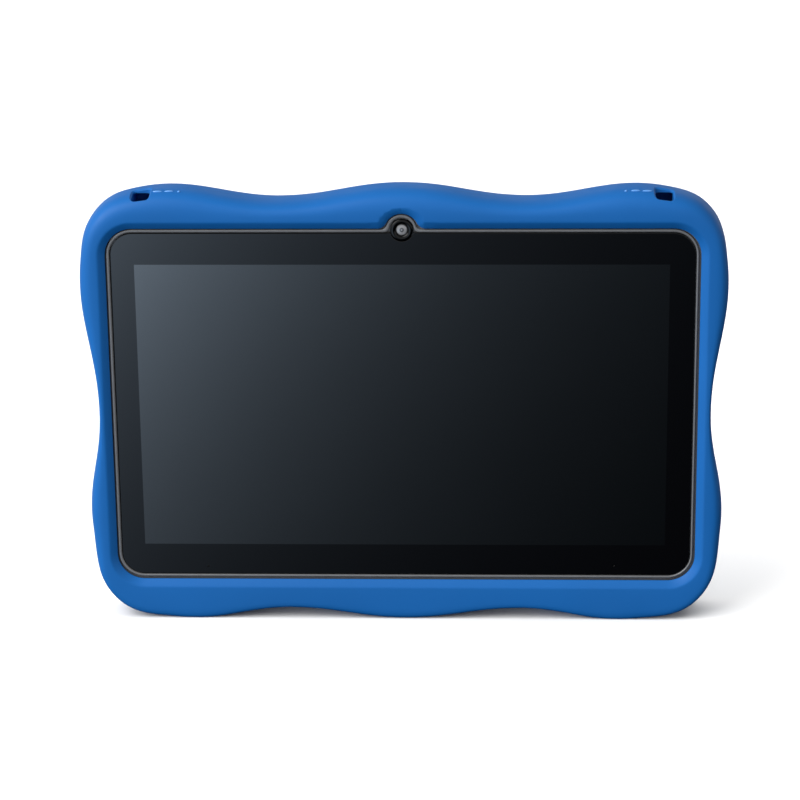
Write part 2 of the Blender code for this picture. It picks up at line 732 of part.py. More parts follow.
def build_cameras(parts, tools):
    front = BODY_FRONT - 0.3 * MM
    ring = [
        (1.70 * MM, front + 0.2 * MM), (2.1 * MM, front), (3.0 * MM, front), (3.25 * MM, front + 0.25 * MM),
        (3.25 * MM, front + 2.2 * MM), (1.70 * MM, front + 2.2 * MM),
    ]
    turned(parts, "front_camera_ring", ring, 0.0, CAMERA_Z, black_plastic())
    dome = [
        (0.0, front + 0.35 * MM), (0.9 * MM, front + 0.45 * MM), (1.6 * MM, front + 0.75 * MM),
        (1.6 * MM, front + 1.3 * MM), (0.0, front + 1.3 * MM),
    ]
    turned(parts, "front_camera_lens", dome, 0.0, CAMERA_Z, black_glass())
    module = box(
        parts, "front_camera_module",
        (-2.6 * MM, front + 3.0 * MM, CAMERA_Z - 3.0 * MM), (2.6 * MM, -0.5 * MM, CAMERA_Z + 2.2 * MM),
        chip_black(),
    )
    barrel = (0.0, front + 2.4 * MM, CAMERA_Z)
    join(module, cylinder(tools, "front_camera_barrel", barrel, "Y", 1.5 * MM, 2.0 * MM))
    run = [
        (2.0, 116.0), (-2.0, 116.0), (-2.0, 103.0), (-30.0, 103.0), (-30.0, 96.0), (-26.0, 96.0),
        (-26.0, 99.5), (2.0, 99.5),
    ]
    points = [(x * MM, z * MM) for x, z in run]
    plate(parts, "front_camera_flex", points, -2.45 * MM, -2.3 * MM, flex_amber())
    x, z = REAR_CAMERA
    box(
        parts, "rear_camera_module",
        (x - 4 * MM, -2.4 * MM, z - 4 * MM), (x + 4 * MM, 1.5 * MM, z + 4 * MM), chip_black(),
    )
    rim = [
        (2.7 * MM, 1.75 * MM), (4.25 * MM, 1.75 * MM), (4.25 * MM, 3.3 * MM), (3.95 * MM, 3.55 * MM),
        (2.9 * MM, 3.55 * MM), (2.7 * MM, 3.35 * MM),
    ]
    turned(parts, "rear_camera_ring", list(rim), x, z, steel())
    window = [(0.0, 1.75 * MM), (2.6 * MM, 1.75 * MM), (2.6 * MM, 3.0 * MM), (0.0, 3.15 * MM)]
    turned(parts, "rear_camera_lens", window, x, z, black_glass())
    box(
        parts, "rear_camera_flex",
        (x - 2.5 * MM, BOARD_FRONT - 0.4 * MM, 94.5 * MM),
        (x + 2.5 * MM, BOARD_FRONT - 0.25 * MM, 101.7 * MM), flex_amber(),
    )


def usb_outline(margin=0.0):
    """A reversible socket's rounded shell, seen from the side, as (y, z)."""
    radius = 1.55 * MM + margin
    reach = 4.4 * MM - 1.55 * MM
    return arc(USB_Y, USB_Z + reach, radius, 0, 180, 8) + arc(USB_Y, USB_Z - reach, radius, 180, 360, 8)


def build_ports(parts, tools):
    face = -BODY_WIDTH / 2 + 0.1 * MM
    usb = side_profile(parts, "usb_socket", usb_outline(), face, face + 7.3 * MM, steel())
    cut(usb, side_profile(tools, "usb_mouth", usb_outline(-0.3 * MM), face - 2 * MM, face + 6.2 * MM))
    jack = box(
        parts, "headphone_jack",
        (-INNER_X + 0.3 * MM, JACK_Y - 2.1 * MM, JACK_Z - 3.0 * MM),
        (-73.5 * MM, JACK_Y + 2.1 * MM, JACK_Z + 3.0 * MM), chip_black(),
    )
    join(jack, cylinder(tools, "jack_collar", (face + 1.2 * MM, JACK_Y, JACK_Z), "X", 2.5 * MM, 2.4 * MM))
    cut(jack, cylinder(tools, "jack_bore", (-81 * MM, JACK_Y, JACK_Z), "X", 1.8 * MM, 14 * MM))
    card = box(
        parts, "card_socket",
        (face, CARD_Y - 0.75 * MM, CARD_Z - 6.0 * MM),
        (-72.5 * MM, CARD_Y + 0.75 * MM, CARD_Z + 6.0 * MM), steel(),
    )
    cut(
        card,
        box(
            tools, "card_mouth",
            (face - 2 * MM, CARD_Y - 0.45 * MM, CARD_Z - 5.6 * MM),
            (-73.5 * MM, CARD_Y + 0.45 * MM, CARD_Z + 5.6 * MM),
        ),
    )


def build_sound(parts, tools):
    box(
        parts, "speaker",
        (SPEAKER_X[0], -2.3 * MM, SPEAKER_Z[0]), (SPEAKER_X[1], 1.5 * MM, SPEAKER_Z[1]), chip_black(),
        bevel=0.6 * MM,
    )
    red_path = [(44.5, 0.2, 24), (20, 0.6, 28.5), (-8, 0.6, 29.5), (-19, -0.3, 33), (-22.5, -1.4, 37.5)]
    black_path = [(44.5, 0.2, 21.5), (20, 0.6, 26.5), (-9, 0.6, 27.5), (-22, -0.3, 31), (-27, -1.4, 37.5)]
    lead(parts, "speaker_lead_red", red_path, 0.4 * MM, wire_red())
    lead(parts, "speaker_lead_black", black_path, 0.4 * MM, wire_black())
    x, z = MICROPHONE
    cylinder(parts, "microphone", (x, -4.7 * MM, z), "Y", 1.4 * MM, 1.3 * MM, steel())
    box(
        parts, "microphone_flex",
        (x - 1.5 * MM, -2.55 * MM, 14.5 * MM), (x + 1.5 * MM, -2.4 * MM, 37.5 * MM), flex_amber(),
    )
    x, z = STATUS_LIGHT
    box(
        parts, "status_led",
        (x - 0.8 * MM, -5.3 * MM, z - 0.8 * MM), (x + 0.8 * MM, -4.3 * MM, z + 0.8 * MM),
        material("led_white", 0.8, 0.8, 0.75, 0.3),
    )


# ---------------------------------------------------------------- electronics

def build_board(parts, tools):
    board = box(
        parts, "main_board",
        (BOARD_X[0], BOARD_FRONT, BOARD_Z[0]), (BOARD_X[1], BOARD_BACK, BOARD_Z[1]), board_green(),
    )
    left = BOARD_X[0] - 1 * MM
    cut(
        board,
        box(tools, "usb_notch", (left, -5 * MM, USB_Z - 4.8 * MM), (-79.2 * MM, 5 * MM, USB_Z + 4.8 * MM)),
        box(
            tools, "jack_notch",
            (left, -5 * MM, JACK_Z - 3.4 * MM), (-73.1 * MM, 5 * MM, JACK_Z + 3.4 * MM),
        ),
    )
    for number, (x, z) in enumerate(BOARD_SCREWS, start=1):
        cut(board, cylinder(tools, f"board_hole_{number}", (x, 0.0, z), "Y", 1.0 * MM, 6 * MM, sides=16))
        screw(parts, f"board_screw_{number}", x, z)
    chips = {
        "processor_chip": (-50, 68, 14, 14, 1.2, chip_black()),
        "memory_chip": (-48, 86, 9, 13, 1.0, chip_black()),
        "storage_chip": (-64, 88, 11.5, 12, 1.0, chip_black()),
        "power_chip": (-60, 52, 6, 6, 0.9, chip_black()),
        "wifi_module": (-31, 88, 12, 12, 1.7, steel()),
        "lcd_connector": (-42, 42, 24, 3.2, 1.0, material("connector_ivory", 0.62, 0.58, 0.48, 0.5)),
        "battery_connector": (-25, 58, 5, 7, 1.8, material("connector_ivory", 0.62, 0.58, 0.48, 0.5)),
    }
    for name, (x, z, width, height, thickness, finish) in chips.items():
        box(
            parts, name,
            ((x - width / 2) * MM, CHIP_SEAT - thickness * MM, (z - height / 2) * MM),
            ((x + width / 2) * MM, CHIP_SEAT, (z + height / 2) * MM), finish,
        )


def screw(parts, name, x, z):
    """A small pan-head screw that holds the board to its boss."""
    profile = [
        (0.0, CHIP_SEAT - 0.8 * MM), (1.3 * MM, CHIP_SEAT - 0.7 * MM), (1.6 * MM, CHIP_SEAT - 0.4 * MM),
        (1.6 * MM, CHIP_SEAT), (0.6 * MM, CHIP_SEAT), (0.6 * MM, CHIP_SEAT + 2.6 * MM),
        (0.0, CHIP_SEAT + 2.9 * MM),
    ]
    turned(parts, name, profile, x, z, steel(), sides=16)


def build_battery(parts):
    box(
        parts, "battery",
        (-14 * MM, -2.4 * MM, 33 * MM), (72 * MM, 1.15 * MM, 94 * MM),
        material("foil_silver", 0.62, 0.63, 0.65, 0.35, 0.8),
        bevel=1.0 * MM,
    )
    box(parts, "battery_tape", (-8 * MM, 1.3 * MM, 40 * MM), (66 * MM, 1.6 * MM, 87 * MM), black_plastic())
    lead(parts, "battery_lead_red",
         [(-14.5, -0.6, 66), (-17, -1.2, 64.5), (-19.5, -1.6, 61), (-22, -1.4, 60)],
         0.5 * MM, wire_red())
    lead(parts, "battery_lead_black",
         [(-14.5, -0.6, 63.5), (-16.5, -1.2, 62), (-19, -1.6, 57.5), (-22, -1.4, 56.5)],
         0.5 * MM, wire_black())


def build_flexes(parts):
    """Flat cables between the display, the touch glass, the antenna and the board."""
    lcd_path = [(-4.4, 16.6), (-3.6, 15.9), (-2.75, 16.4), (-2.5, 18.5), (-2.5, 37.5), (-1.6, 42)]
    touch_path = [(-4.9, 16.2), (-3.6, 15.2), (-2.7, 16.2), (-2.45, 18.5), (-2.45, 38.5), (-0.7, 40.5)]
    ribbon(parts, "lcd_flex", -42 * MM, 11 * MM, lcd_path)
    ribbon(parts, "touch_flex", -70 * MM, 4 * MM, touch_path)
    box(
        parts, "wifi_antenna",
        (20 * MM, 1.45 * MM, 114.5 * MM), (58 * MM, 1.65 * MM, 119.5 * MM), flex_amber(),
    )
    lead(parts, "antenna_lead",
         [(-24.6, -1.1, 90), (-20, -1.1, 96), (-6, 0.5, 106.5), (12, 0.9, 114), (24, 0.95, 117)],
         0.35 * MM, wire_black())
    box(parts, "key_flex", (-24 * MM, 1.2 * MM, 95.6 * MM), (74.2 * MM, 1.35 * MM, 98.6 * MM), flex_amber())


def ribbon(parts, name, centre_x, half_width, points):
    """A flat cable that bends in the YZ plane, as an open strip given its thickness."""
    curve = bpy.data.curves.new(name, "CURVE")
    curve.dimensions = "2D"
    curve.fill_mode = "NONE"
    curve.extrude = half_width
    spline = curve.splines.new("POLY")
    spline.points.add(len(points) - 1)
    for point, (y, z) in zip(spline.points, points):
        point.co = (y * MM, z * MM, 0.0, 1.0)
    turn = Matrix(((0, 0, 1, centre_x), (1, 0, 0, 0), (0, 1, 0, 0), (0, 0, 0, 1)))
    shape = add_to(parts, name, mesh_from_curve(name, curve, turn), flex_amber())
    skin = shape.modifiers.new("film", "SOLIDIFY")
    skin.thickness = 0.15 * MM
    skin.offset = 0.0


# ---------------------------------------------------------------- buttons

def build_buttons(parts, tools):
    box(parts, "key_board", (75 * MM, 0.75 * MM, 48 * MM), (84.0 * MM, 1.55 * MM, 100 * MM), board_green())
    for name, level in BUTTONS.items():
        build_button(parts, tools, name, level)


def build_button(parts, tools, name, level):
    """A switch on the key board, its plunger, and the button that reaches out through the wall."""
    face = 83.4 * MM
    switch = box(
        parts, name + "_switch",
        (79.8 * MM, -1.25 * MM, level - 2.3 * MM), (face, 0.65 * MM, level + 2.3 * MM), steel(),
    )
    cut(
        switch,
        box(
            tools, name + "_well",
            (face - 1.2 * MM, -0.85 * MM, level - 1.0 * MM), (face + MM, 0.25 * MM, level + 1.0 * MM),
        ),
    )
    box(
        parts, name + "_plunger",
        (face - 0.6 * MM, -0.75 * MM, level - 0.9 * MM), (84.5 * MM, 0.15 * MM, level + 0.9 * MM),
        black_plastic(),
    )
    low_y = BUTTON_Y - BUTTON_DEPTH / 2
    high_y = BUTTON_Y + BUTTON_DEPTH / 2
    outline = rounded_rectangle(
        BUTTON_DEPTH, BUTTON_LENGTH, BUTTON_DEPTH / 2 - 0.05 * MM, (BUTTON_Y, level), steps=4
    )
    button = side_profile(
        parts, name + "_button", outline, INNER_X - 0.6 * MM, BODY_WIDTH / 2 + BUTTON_PROUD, black_plastic()
    )
    flange = box(
        tools, name + "_flange",
        (INNER_X - 0.9 * MM, low_y - 0.5 * MM, level - BUTTON_LENGTH / 2 - 0.6 * MM),
        (INNER_X - 0.1 * MM, high_y + 0.5 * MM, level + BUTTON_LENGTH / 2 + 0.6 * MM),
    )
    join(button, flange)


# ---------------------------------------------------------------- assembly

def main():
    clear_scene()
    parts = new_collection("kids_tablet")
    tools = new_collection("cutters")
    build_case(parts, tools)
    build_stand(parts, tools)
    build_front_frame(parts, tools)
    build_rear_cover(parts, tools)
    build_glass(parts, tools)
    build_display(parts, tools)
    build_cameras(parts, tools)
    build_ports(parts, tools)
    build_sound(parts, tools)
    build_board(parts, tools)
    build_battery(parts)
    build_flexes(parts)
    build_buttons(parts, tools)


main()
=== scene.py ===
"""Children's tablet in a wavy silicone bumper: its finished surfaces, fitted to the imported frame."""

import math

import bmesh
import bpy
import numpy as np
from mathutils import Matrix, Vector


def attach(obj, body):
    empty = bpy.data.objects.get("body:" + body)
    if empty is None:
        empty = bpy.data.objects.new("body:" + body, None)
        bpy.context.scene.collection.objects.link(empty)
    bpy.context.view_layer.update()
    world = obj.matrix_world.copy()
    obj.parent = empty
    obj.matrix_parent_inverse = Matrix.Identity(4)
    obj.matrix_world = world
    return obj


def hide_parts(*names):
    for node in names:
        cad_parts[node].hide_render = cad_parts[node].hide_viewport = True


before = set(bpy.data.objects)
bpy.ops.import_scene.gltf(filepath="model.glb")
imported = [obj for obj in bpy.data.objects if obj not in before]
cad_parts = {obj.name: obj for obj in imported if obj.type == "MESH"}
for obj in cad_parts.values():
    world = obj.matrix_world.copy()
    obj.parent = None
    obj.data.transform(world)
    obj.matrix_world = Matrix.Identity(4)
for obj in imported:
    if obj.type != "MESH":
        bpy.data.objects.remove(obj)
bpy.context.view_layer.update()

bl_info = {
    "name": "Kids Tablet Finish",
    "version": (1, 0, 0),
    "blender": (4, 5, 0),
    "location": "3D View > Sidebar > Kids Tablet",
    "description": "Builds the finished surfaces of a children's tablet and its silicone bumper",
    "category": "Object",
}

MM = 0.001
TABLET = "case_and_tablet"

# Ring sampling, shared by every ring so that rings can be skinned one to the next
SIDE_STEPS = 60
CORNER_STEPS = 16
EDGE_STEPS = 56
ZONE_HALF = 10.0
ZONE_FLAT_STEPS = 3
FILLET_STEPS = 6
HUMP_STEPS = 18
PLAIN_HUMP = (2.2, 7.1, 0.8)

# Case: key points of the right half of its wavy edge, top middle to bottom middle
CASE_EDGE_POINTS = [
    (0.0, 130.9), (34.6, 127.0), (75.9, 129.7), (88.6, 123.7), (93.4, 109.5), (89.5, 63.8),
    (93.2, 28.2), (86.7, 5.9), (67.7, -0.15), (34.1, 3.1), (0.0, -0.15),
]
RIGHT_LINE_START = 80.0
TOP_LINE_START = 115.0
HALF_DEPTH = 8.75
SIDE_POWERS = {-1: 3.2, 1: 4.4}
FOOT_POWER = 9.5
SCREEN_Z = 66.0
CAMERA_Z = 119.3
LIP = (171.2, 107.6, 8.0)
CREST_OFFSET = 2.55
BACK_INSET = 6.5
CAVITY = (174.6, 111.9, 9.3, 66.85)
CAVITY_BACK = 3.65
RECESS = (158.0, 96.0, 14.0, 65.5)
RECESS_Y = 6.6
POCKET = (66.6, 84.6, 5.3, 62.0)
POCKET_Y = 5.0
STRAP_X = 74.9
LIP_TOP = SCREEN_Z + LIP[1] / 2
CREST_X = LIP[0] / 2 + CREST_OFFSET
CREST_Z = LIP_TOP + CREST_OFFSET
WALL_REACH = -7.15
SIDE_SLOT = (-4.0, 3.4)
PORT_LEVELS = (42.0, 88.0)
KEY_LEVELS = (47.0, 87.0)
WELL_FLOOR = 123.5
WELL_Y = -3.8
WELL_CHAMFER = 0.45
PASSAGE_Z = 119.0
REAR_CAMERA = (-62.0, 106.0)
SPEAKER = (60.0, 23.0)

# Tablet: outlines are (width, height, corner) or (width, height, corner, middle z)
GLASS = (168.2, 104.6, 6.5)
GLASS_FRONT = -6.75
GLASS_BACK = -5.65
RIM_SHIFT = (-0.2, 0.15)
FRAME_BODY = (174.0, 111.3, 9.0, 66.85)
FRAME_OPENING = (164.4, 100.8, 4.6, SCREEN_Z)
FRAME_BACK = -4.35
ACTIVE_CENTRE = (-0.3, 66.04)
ACTIVE_SIZE = (154.08, 85.92)
PINHOLES = ((-58.7, 16.0), (61.8, 16.6))
BUTTON_LEVELS = {"power": 78.0, "volume_up": 66.0, "volume_down": 55.0}

# Stand: the hinge axis and the leg
HINGE_Y = 7.35
HINGE_Z = 99.0
PIN_HOLE_RADIUS = 0.78
LEG_HALF_WIDTH = 30.2
LEG_RADIUS = 1.25
SCOOP = (34.0, 40.0, 8.0, 62.0)

# Stage
FALL_UP = 11.7
FALL_RIGHT = -15.6
FALL_ORIGIN = (-0.1244, -0.267)
FALL_CAP = 1.7
FALL_TINT = (0.80, 1.0, 1.24)
FALL_TOP = -0.2
HORIZON = -0.06
CAMERA_PLACE = (0.03194872, -0.80025213, 0.32763924)
CAMERA_TURN = (71.90389461, 0.62260425, 2.17655326)


# ---------------- settings

def linear(hex_colour):
    """An sRGB hex colour as linear red, green, blue and alpha."""
    channels = [int(hex_colour[place:place + 2], 16) / 255 for place in (1, 3, 5)]
    values = [c / 12.92 if c <= 0.04045 else ((c + 0.055) / 1.055) ** 2.4 for c in channels]
    return (*values, 1.0)


def colour_setting(name, description, hex_colour):
    return bpy.props.FloatVectorProperty(
        name=name, description=description, subtype="COLOR", size=4, min=0.0, max=1.0,
        default=linear(hex_colour),
    )


class TabletColours(bpy.types.PropertyGroup):
    """Colours of the finished surfaces."""

    silicone: colour_setting("Silicone", "Body colour of the bumper case", "#1264AF")
    rim: colour_setting("Rim", "Painted plastic rim round the glass", "#77787A")
    stand: colour_setting("Stand", "Moulded stand in the back", "#1D4F93")
    shell: colour_setting("Shell", "Plastic rear cover of the tablet", "#1B1C1F")


class TabletSizes(bpy.types.PropertyGroup):
    """Sizes of the small details."""

    slope_depth: bpy.props.FloatProperty(
        name="Slope depth", description="How far the lip's inner edge slopes back from its crest",
        subtype="DISTANCE", unit="LENGTH", default=1.33 * MM, min=0.5 * MM, max=1.6 * MM,
    )
    window_chamfer: bpy.props.FloatProperty(
        name="Window chamfer", description="Width of the sloped edge of the case's openings",
        subtype="DISTANCE", unit="LENGTH", default=0.5 * MM, min=0.1 * MM, max=1.0 * MM,
    )


# ---------------- material tools

def add_node(tree, kind, links=None, **settings):
    """Adds a node; settings name its properties or inputs, links name its inputs' sources."""
    made = tree.nodes.new(kind)
    for name, value in settings.items():
        if hasattr(made, name):
            setattr(made, name, value)
        else:
            made.inputs[name.replace("_", " ")].default_value = value
    for key, source in (links or {}).items():
        tree.links.new(source, made.inputs[key])
    return made


def new_material(name, base, roughness, **settings):
    """A material whose Principled shader has these settings on its own sockets."""
    made = bpy.data.materials.new(name)
    made.use_nodes = True
    shader = made.node_tree.nodes["Principled BSDF"]
    shader.inputs["Base Color"].default_value = base
    shader.inputs["Roughness"].default_value = roughness
    for key, value in settings.items():
        shader.inputs[key.replace("_", " ")].default_value = value
    return made, made.node_tree, shader


def object_coordinates(tree):
    return add_node(tree, "ShaderNodeTexCoord").outputs["Object"]


def noise_texture(tree, place, size_mm, detail, **settings):
    scale = 1.0 / (size_mm * MM)
    made = add_node(
        tree, "ShaderNodeTexNoise", {"Vector": place}, Scale=scale, Detail=detail, **settings
    )
    return made.outputs["Fac"]


def grain(tree, place, shader, size_mm, depth_mm, strength):
    """Fine surface grain of the given size and depth, as bump."""
    noise = noise_texture(tree, place, size_mm, 3.0, Roughness=0.6)
    bump = add_node(tree, "ShaderNodeBump", {"Height": noise}, Strength=strength, Distance=depth_mm * MM)
    tree.links.new(bump.outputs["Normal"], shader.inputs["Normal"])


def tone_variation(tree, place, shader, base, amount, size_mm):
    """Slow changes of tone, as pigment and handling leave them."""
    noise = noise_texture(tree, place, size_mm, 2.0)
    ramp = add_node(tree, "ShaderNodeValToRGB", {"Fac": noise})
    tones = ((0.3, 1 - amount), (0.7, 1 + amount))
    for element, (position, share) in zip(ramp.color_ramp.elements, tones):
        element.position = position
        element.color = [min(1.0, channel * share) for channel in base[:3]] + [1.0]
    tree.links.new(ramp.outputs["Color"], shader.inputs["Base Color"])


def rough_variation(tree, place, shader, low, high, size_mm, detail=4.0):
    """Slow changes of gloss between two roughnesses."""
    noise = noise_texture(tree, place, size_mm, detail)
    spread = add_node(
        tree, "ShaderNodeMapRange", {"Value": noise}, From_Min=0.3, From_Max=0.7, To_Min=low, To_Max=high
    )
    tree.links.new(spread.outputs["Result"], shader.inputs["Roughness"])


def fill_ramp(ramp, stops):
    elements = ramp.color_ramp.elements
    while len(elements) < len(stops):
        elements.new(0.5)
    for element, (position, hex_colour) in zip(elements, stops):
        element.position = position
        element.color = linear(hex_colour)


def detailed(name, base, roughness, tone=(), gloss=(), bumps=(), **settings):
    """A material with tone (amount, size), gloss (low, high, size) and bumps (size, depth, strength)."""
    made, tree, shader = new_material(name, base, roughness, **settings)
    place = object_coordinates(tree)
    if tone:
        tone_variation(tree, place, shader, base, *tone)
    if gloss:
        rough_variation(tree, place, shader, *gloss)
    if bumps:
        grain(tree, place, shader, *bumps)
    return made


# ---------------- materials

def silicone_material():
    """Compression-moulded silicone rubber: satin and slightly dusty, with no sharp gloss."""
    base = bpy.context.scene.tablet_colours.silicone
    return detailed(
        "moulded_silicone", base, 0.55, (0.035, 28), (0.46, 0.60, 9), (0.45, 0.012, 0.5),
        IOR=1.41, Specular_IOR_Level=0.32,
    )


def polished_silicone_painted_glint_material():
    """The same silicone moulded against polished steel, as on raised marks: a brighter gloss, and a
    lighter base colour that is a painted glint.
    """
    return detailed(
        # The light blue base, lighter than the case's silicone, is a painted glint on the raised dashes
        "polished_silicone_painted_glint", linear("#5E9BE0"), 0.22, (0.05, 2), (), (0.3, 0.004, 0.3),
        IOR=1.45, Coat_Weight=0.3,
    )


def rim_material():
    """Metallic-painted ABS: a fine satin paint film that catches thin lines of light on its edges."""
    base = bpy.context.scene.tablet_colours.rim
    return detailed(
        "painted_abs_rim", base, 0.36, (0.06, 0.6), (), (0.25, 0.004, 0.4), IOR=1.5, Metallic=0.3
    )


def printed_glass_material():
    """Soda-lime glass with black ink printed on its back: black, mirror-smooth, faint smears."""
    return detailed("ink_backed_glass", linear("#050507"), 0.03, gloss=(0.02, 0.05, 22), IOR=1.52)


def display_glass_material():
    """The same glass over the display: the polariser behind it adds a second, softer reflection."""
    return detailed(
        "glass_over_display", linear("#040506"), 0.06, gloss=(0.05, 0.09, 30),
        IOR=1.72, Coat_Weight=1.0, Coat_Roughness=0.03, Coat_IOR=1.5,
    )


def gloss_black_material():
    """Injection-moulded gloss PMMA, black all through: sharp highlights on a near-black body."""
    return detailed(
        "gloss_black_pmma", linear("#030303"), 0.12, gloss=(0.09, 0.17, 3),
        IOR=1.49, Specular_IOR_Level=0.3,
    )


def lens_material():
    """Front camera window: grey anti-reflection ring, dark pupil ring and a pale centre that is a painted
    highlight.
    """
    made, tree, shader = new_material(
        "coated_lens_window", linear("#8A8A8C"), 0.22, IOR=1.5, Coat_Weight=0.6
    )
    place = object_coordinates(tree)
    middle = add_node(tree, "ShaderNodeMapping", {"Vector": place}, vector_type="POINT")
    middle.inputs["Location"].default_value = (0.0, 0.0, -CAMERA_Z * MM)
    middle.inputs["Scale"].default_value = (1.0, 0.0, 1.0)
    radius = add_node(tree, "ShaderNodeVectorMath", {0: middle.outputs["Vector"]}, operation="LENGTH")
    share = add_node(tree, "ShaderNodeMapRange", {"Value": radius.outputs["Value"]}, From_Max=1.65 * MM)
    ramp = add_node(tree, "ShaderNodeValToRGB", {"Fac": share.outputs["Result"]})
    # The pale first stop is a painted highlight at the window's centre
    stops = [(0.0, "#B9BCC0"), (0.13, "#7E8084"), (0.2, "#3A3B3E"), (0.34, "#4A4B4F"), (0.44, "#8E8F92"),
             (0.8, "#939497"), (0.93, "#6A6B6E"), (1.0, "#1A1A1C")]
    fill_ramp(ramp, stops)
    tree.links.new(ramp.outputs["Color"], shader.inputs["Base Color"])
    return made


def moulded_material(name, base, roughness, grain_mm=0.35, depth_mm=0.015):
    """Injection-moulded ABS or nylon with the fine spark texture of its mould."""
    return detailed(
        name, base, roughness, (0.05, 14), (roughness - 0.05, roughness + 0.07, 4),
        (grain_mm, depth_mm, 0.7), IOR=1.5,
    )


def brushed_metal_material(name, base, roughness):
    """Rolled or drawn steel: fine parallel scratches, seen as streaks of gloss."""
    made, tree, shader = new_material(name, base, roughness, Metallic=1.0)
    place = object_coordinates(tree)
    streak = add_node(tree, "ShaderNodeMapping", {"Vector": place})
    streak.inputs["Scale"].default_value = (1.0, 1.0, 30.0)
    rough_variation(
        tree, streak.outputs["Vector"], shader, roughness - 0.08, roughness + 0.12, 1000 / 220, 3.0
    )
    tone_variation(tree, place, shader, base, 0.05, 3)
    return made


def board_material():
    """FR-4 glass-epoxy board under green solder mask, with its copper tracks showing as paler lines."""
    base = linear("#14603A")
    made, tree, shader = new_material("solder_masked_fr4", base, 0.38, IOR=1.55)
    place = object_coordinates(tree)
    flat = add_node(
        tree, "ShaderNodeMapping", {"Vector": place}, Rotation=(math.radians(90), 0.0, 0.0)
    )
    brick = add_node(
        tree, "ShaderNodeTexBrick", {"Vector": flat.outputs["Vector"]}, Scale=1.0 / (8 * MM),
        Mortar_Size=0.03, Mortar_Smooth=0.1, Bias=0.0, Brick_Width=0.6, Row_Height=0.12,
    )
    brick.inputs["Color1"].default_value = base
    brick.inputs["Color2"].default_value = linear("#125535")
    brick.inputs["Mortar"].default_value = linear("#2F8457")
    tree.links.new(brick.outputs["Color"], shader.inputs["Base Color"])
    grain(tree, place, shader, 0.5, 0.01, 0.5)
    return made


def film_material(name, hex_colour, line_hex, spacing_mm):
    """Polyimide film circuit: amber, satin, with copper conductors side by side under the film."""
    made, tree, shader = new_material(name, linear(hex_colour), 0.35, IOR=1.6)
    place = object_coordinates(tree)
    wave = add_node(
        tree, "ShaderNodeTexWave", {"Vector": place}, bands_direction="X",
        Scale=0.314 / (spacing_mm * MM), Distortion=0.0,
    )
    ramp = add_node(tree, "ShaderNodeValToRGB", {"Fac": wave.outputs["Fac"]})
    fill_ramp(ramp, [(0.35, hex_colour), (0.65, line_hex)])
    tree.links.new(ramp.outputs["Color"], shader.inputs["Base Color"])
    return made


def foil_material():
    """Aluminium-laminated pouch foil: dull silver with shallow creases."""
    return detailed(
        "pouch_foil", linear("#B9BBBF"), 0.36, (0.05, 12), (), (6.0, 0.12, 0.6), Metallic=0.85
    )


# ---------------- shapes

def in_mm(x, y, z):
    return Vector((x * MM, y * MM, z * MM))


def placed(name, data):
    """An object of a mesh, curve, light or camera, in the scene."""
    made = bpy.data.objects.new(name, data)
    bpy.context.scene.collection.objects.link(made)
    return made


def as_mesh(name, shape):
    mesh = bpy.data.meshes.new(name)
    shape.to_mesh(mesh)
    shape.free()
    return mesh


def shade(mesh, sharp):
    mesh.shade_smooth()
    mesh.set_sharp_from_angle(angle=math.radians(sharp))


def steps_between(start, stop, steps):
    return [start + (stop - start) * step / steps for step in range(steps)]


def arc_points(centre, radius, start, stop, steps):
    """Points on a circle, the last one left out."""
    angles = [math.radians(angle) for angle in steps_between(start, stop, steps)]
    return [(centre[0] + radius * math.cos(a), centre[1] + radius * math.sin(a)) for a in angles]


def hump_points(top, radius, fillet):
    """The top edge between x = +ZONE_HALF and -ZONE_HALF, where it swells round the front camera."""
    rise = top + fillet - CAMERA_Z
    reach = math.sqrt((radius + fillet) ** 2 - rise ** 2)
    lean = math.degrees(math.atan2(rise, reach))
    points = [(x, top) for x in steps_between(ZONE_HALF, reach, ZONE_FLAT_STEPS)]
    points += arc_points((reach, top + fillet), fillet, -90, lean - 180, FILLET_STEPS)
    points += arc_points((0.0, CAMERA_Z), radius, lean, 180 - lean, HUMP_STEPS)
    points += arc_points((-reach, top + fillet), fillet, -lean, -90, FILLET_STEPS)
    points += [(x, top) for x in steps_between(-reach, -ZONE_HALF, ZONE_FLAT_STEPS)]
    return points


def ring(width, height, corner, middle_z, hump=None, offset=0.0):
    """A rounded rectangle as (x, z) points anticlockwise from the lower right, moved out by an offset.

    hump is the (radius, fillet) of the swelling round the camera; a ring without one has the same
    number of points, spaced as on the crest of the lip.
    """
    right = width / 2 + offset
    top = middle_z + height / 2 + offset
    bottom = middle_z - height / 2 - offset
    corner += offset
    flat_x = right - corner
    if hump:
        zone = hump_points(top, hump[0] + offset, hump[1] - offset)
    else:
        rise, radius, fillet = PLAIN_HUMP
        zone = [(x, top) for x, _ in hump_points(LIP_TOP + rise, radius, fillet)]
    points = [(right, z) for z in steps_between(bottom + corner, top - corner, SIDE_STEPS)]
    points += arc_points((flat_x, top - corner), corner, 0, 90, CORNER_STEPS)
    points += [(x, top) for x in steps_between(flat_x, ZONE_HALF, EDGE_STEPS)]
    points += zone
    points += [(x, top) for x in steps_between(-ZONE_HALF, -flat_x, EDGE_STEPS)]
    points += arc_points((-flat_x, top - corner), corner, 90, 180, CORNER_STEPS)
    points += [(-right, z) for z in steps_between(top - corner, bottom + corner, SIDE_STEPS)]
    points += arc_points((-flat_x, bottom + corner), corner, 180, 270, CORNER_STEPS)
    points += [(x, bottom) for x in steps_between(-flat_x, -ZONE_HALF, EDGE_STEPS)]
    points += [(x, bottom) for x in steps_between(-ZONE_HALF, ZONE_HALF, len(zone))]
    points += [(x, bottom) for x in steps_between(ZONE_HALF, flat_x, EDGE_STEPS)]
    points += arc_points((flat_x, bottom + corner), corner, 270, 360, CORNER_STEPS)
    return np.array(points)


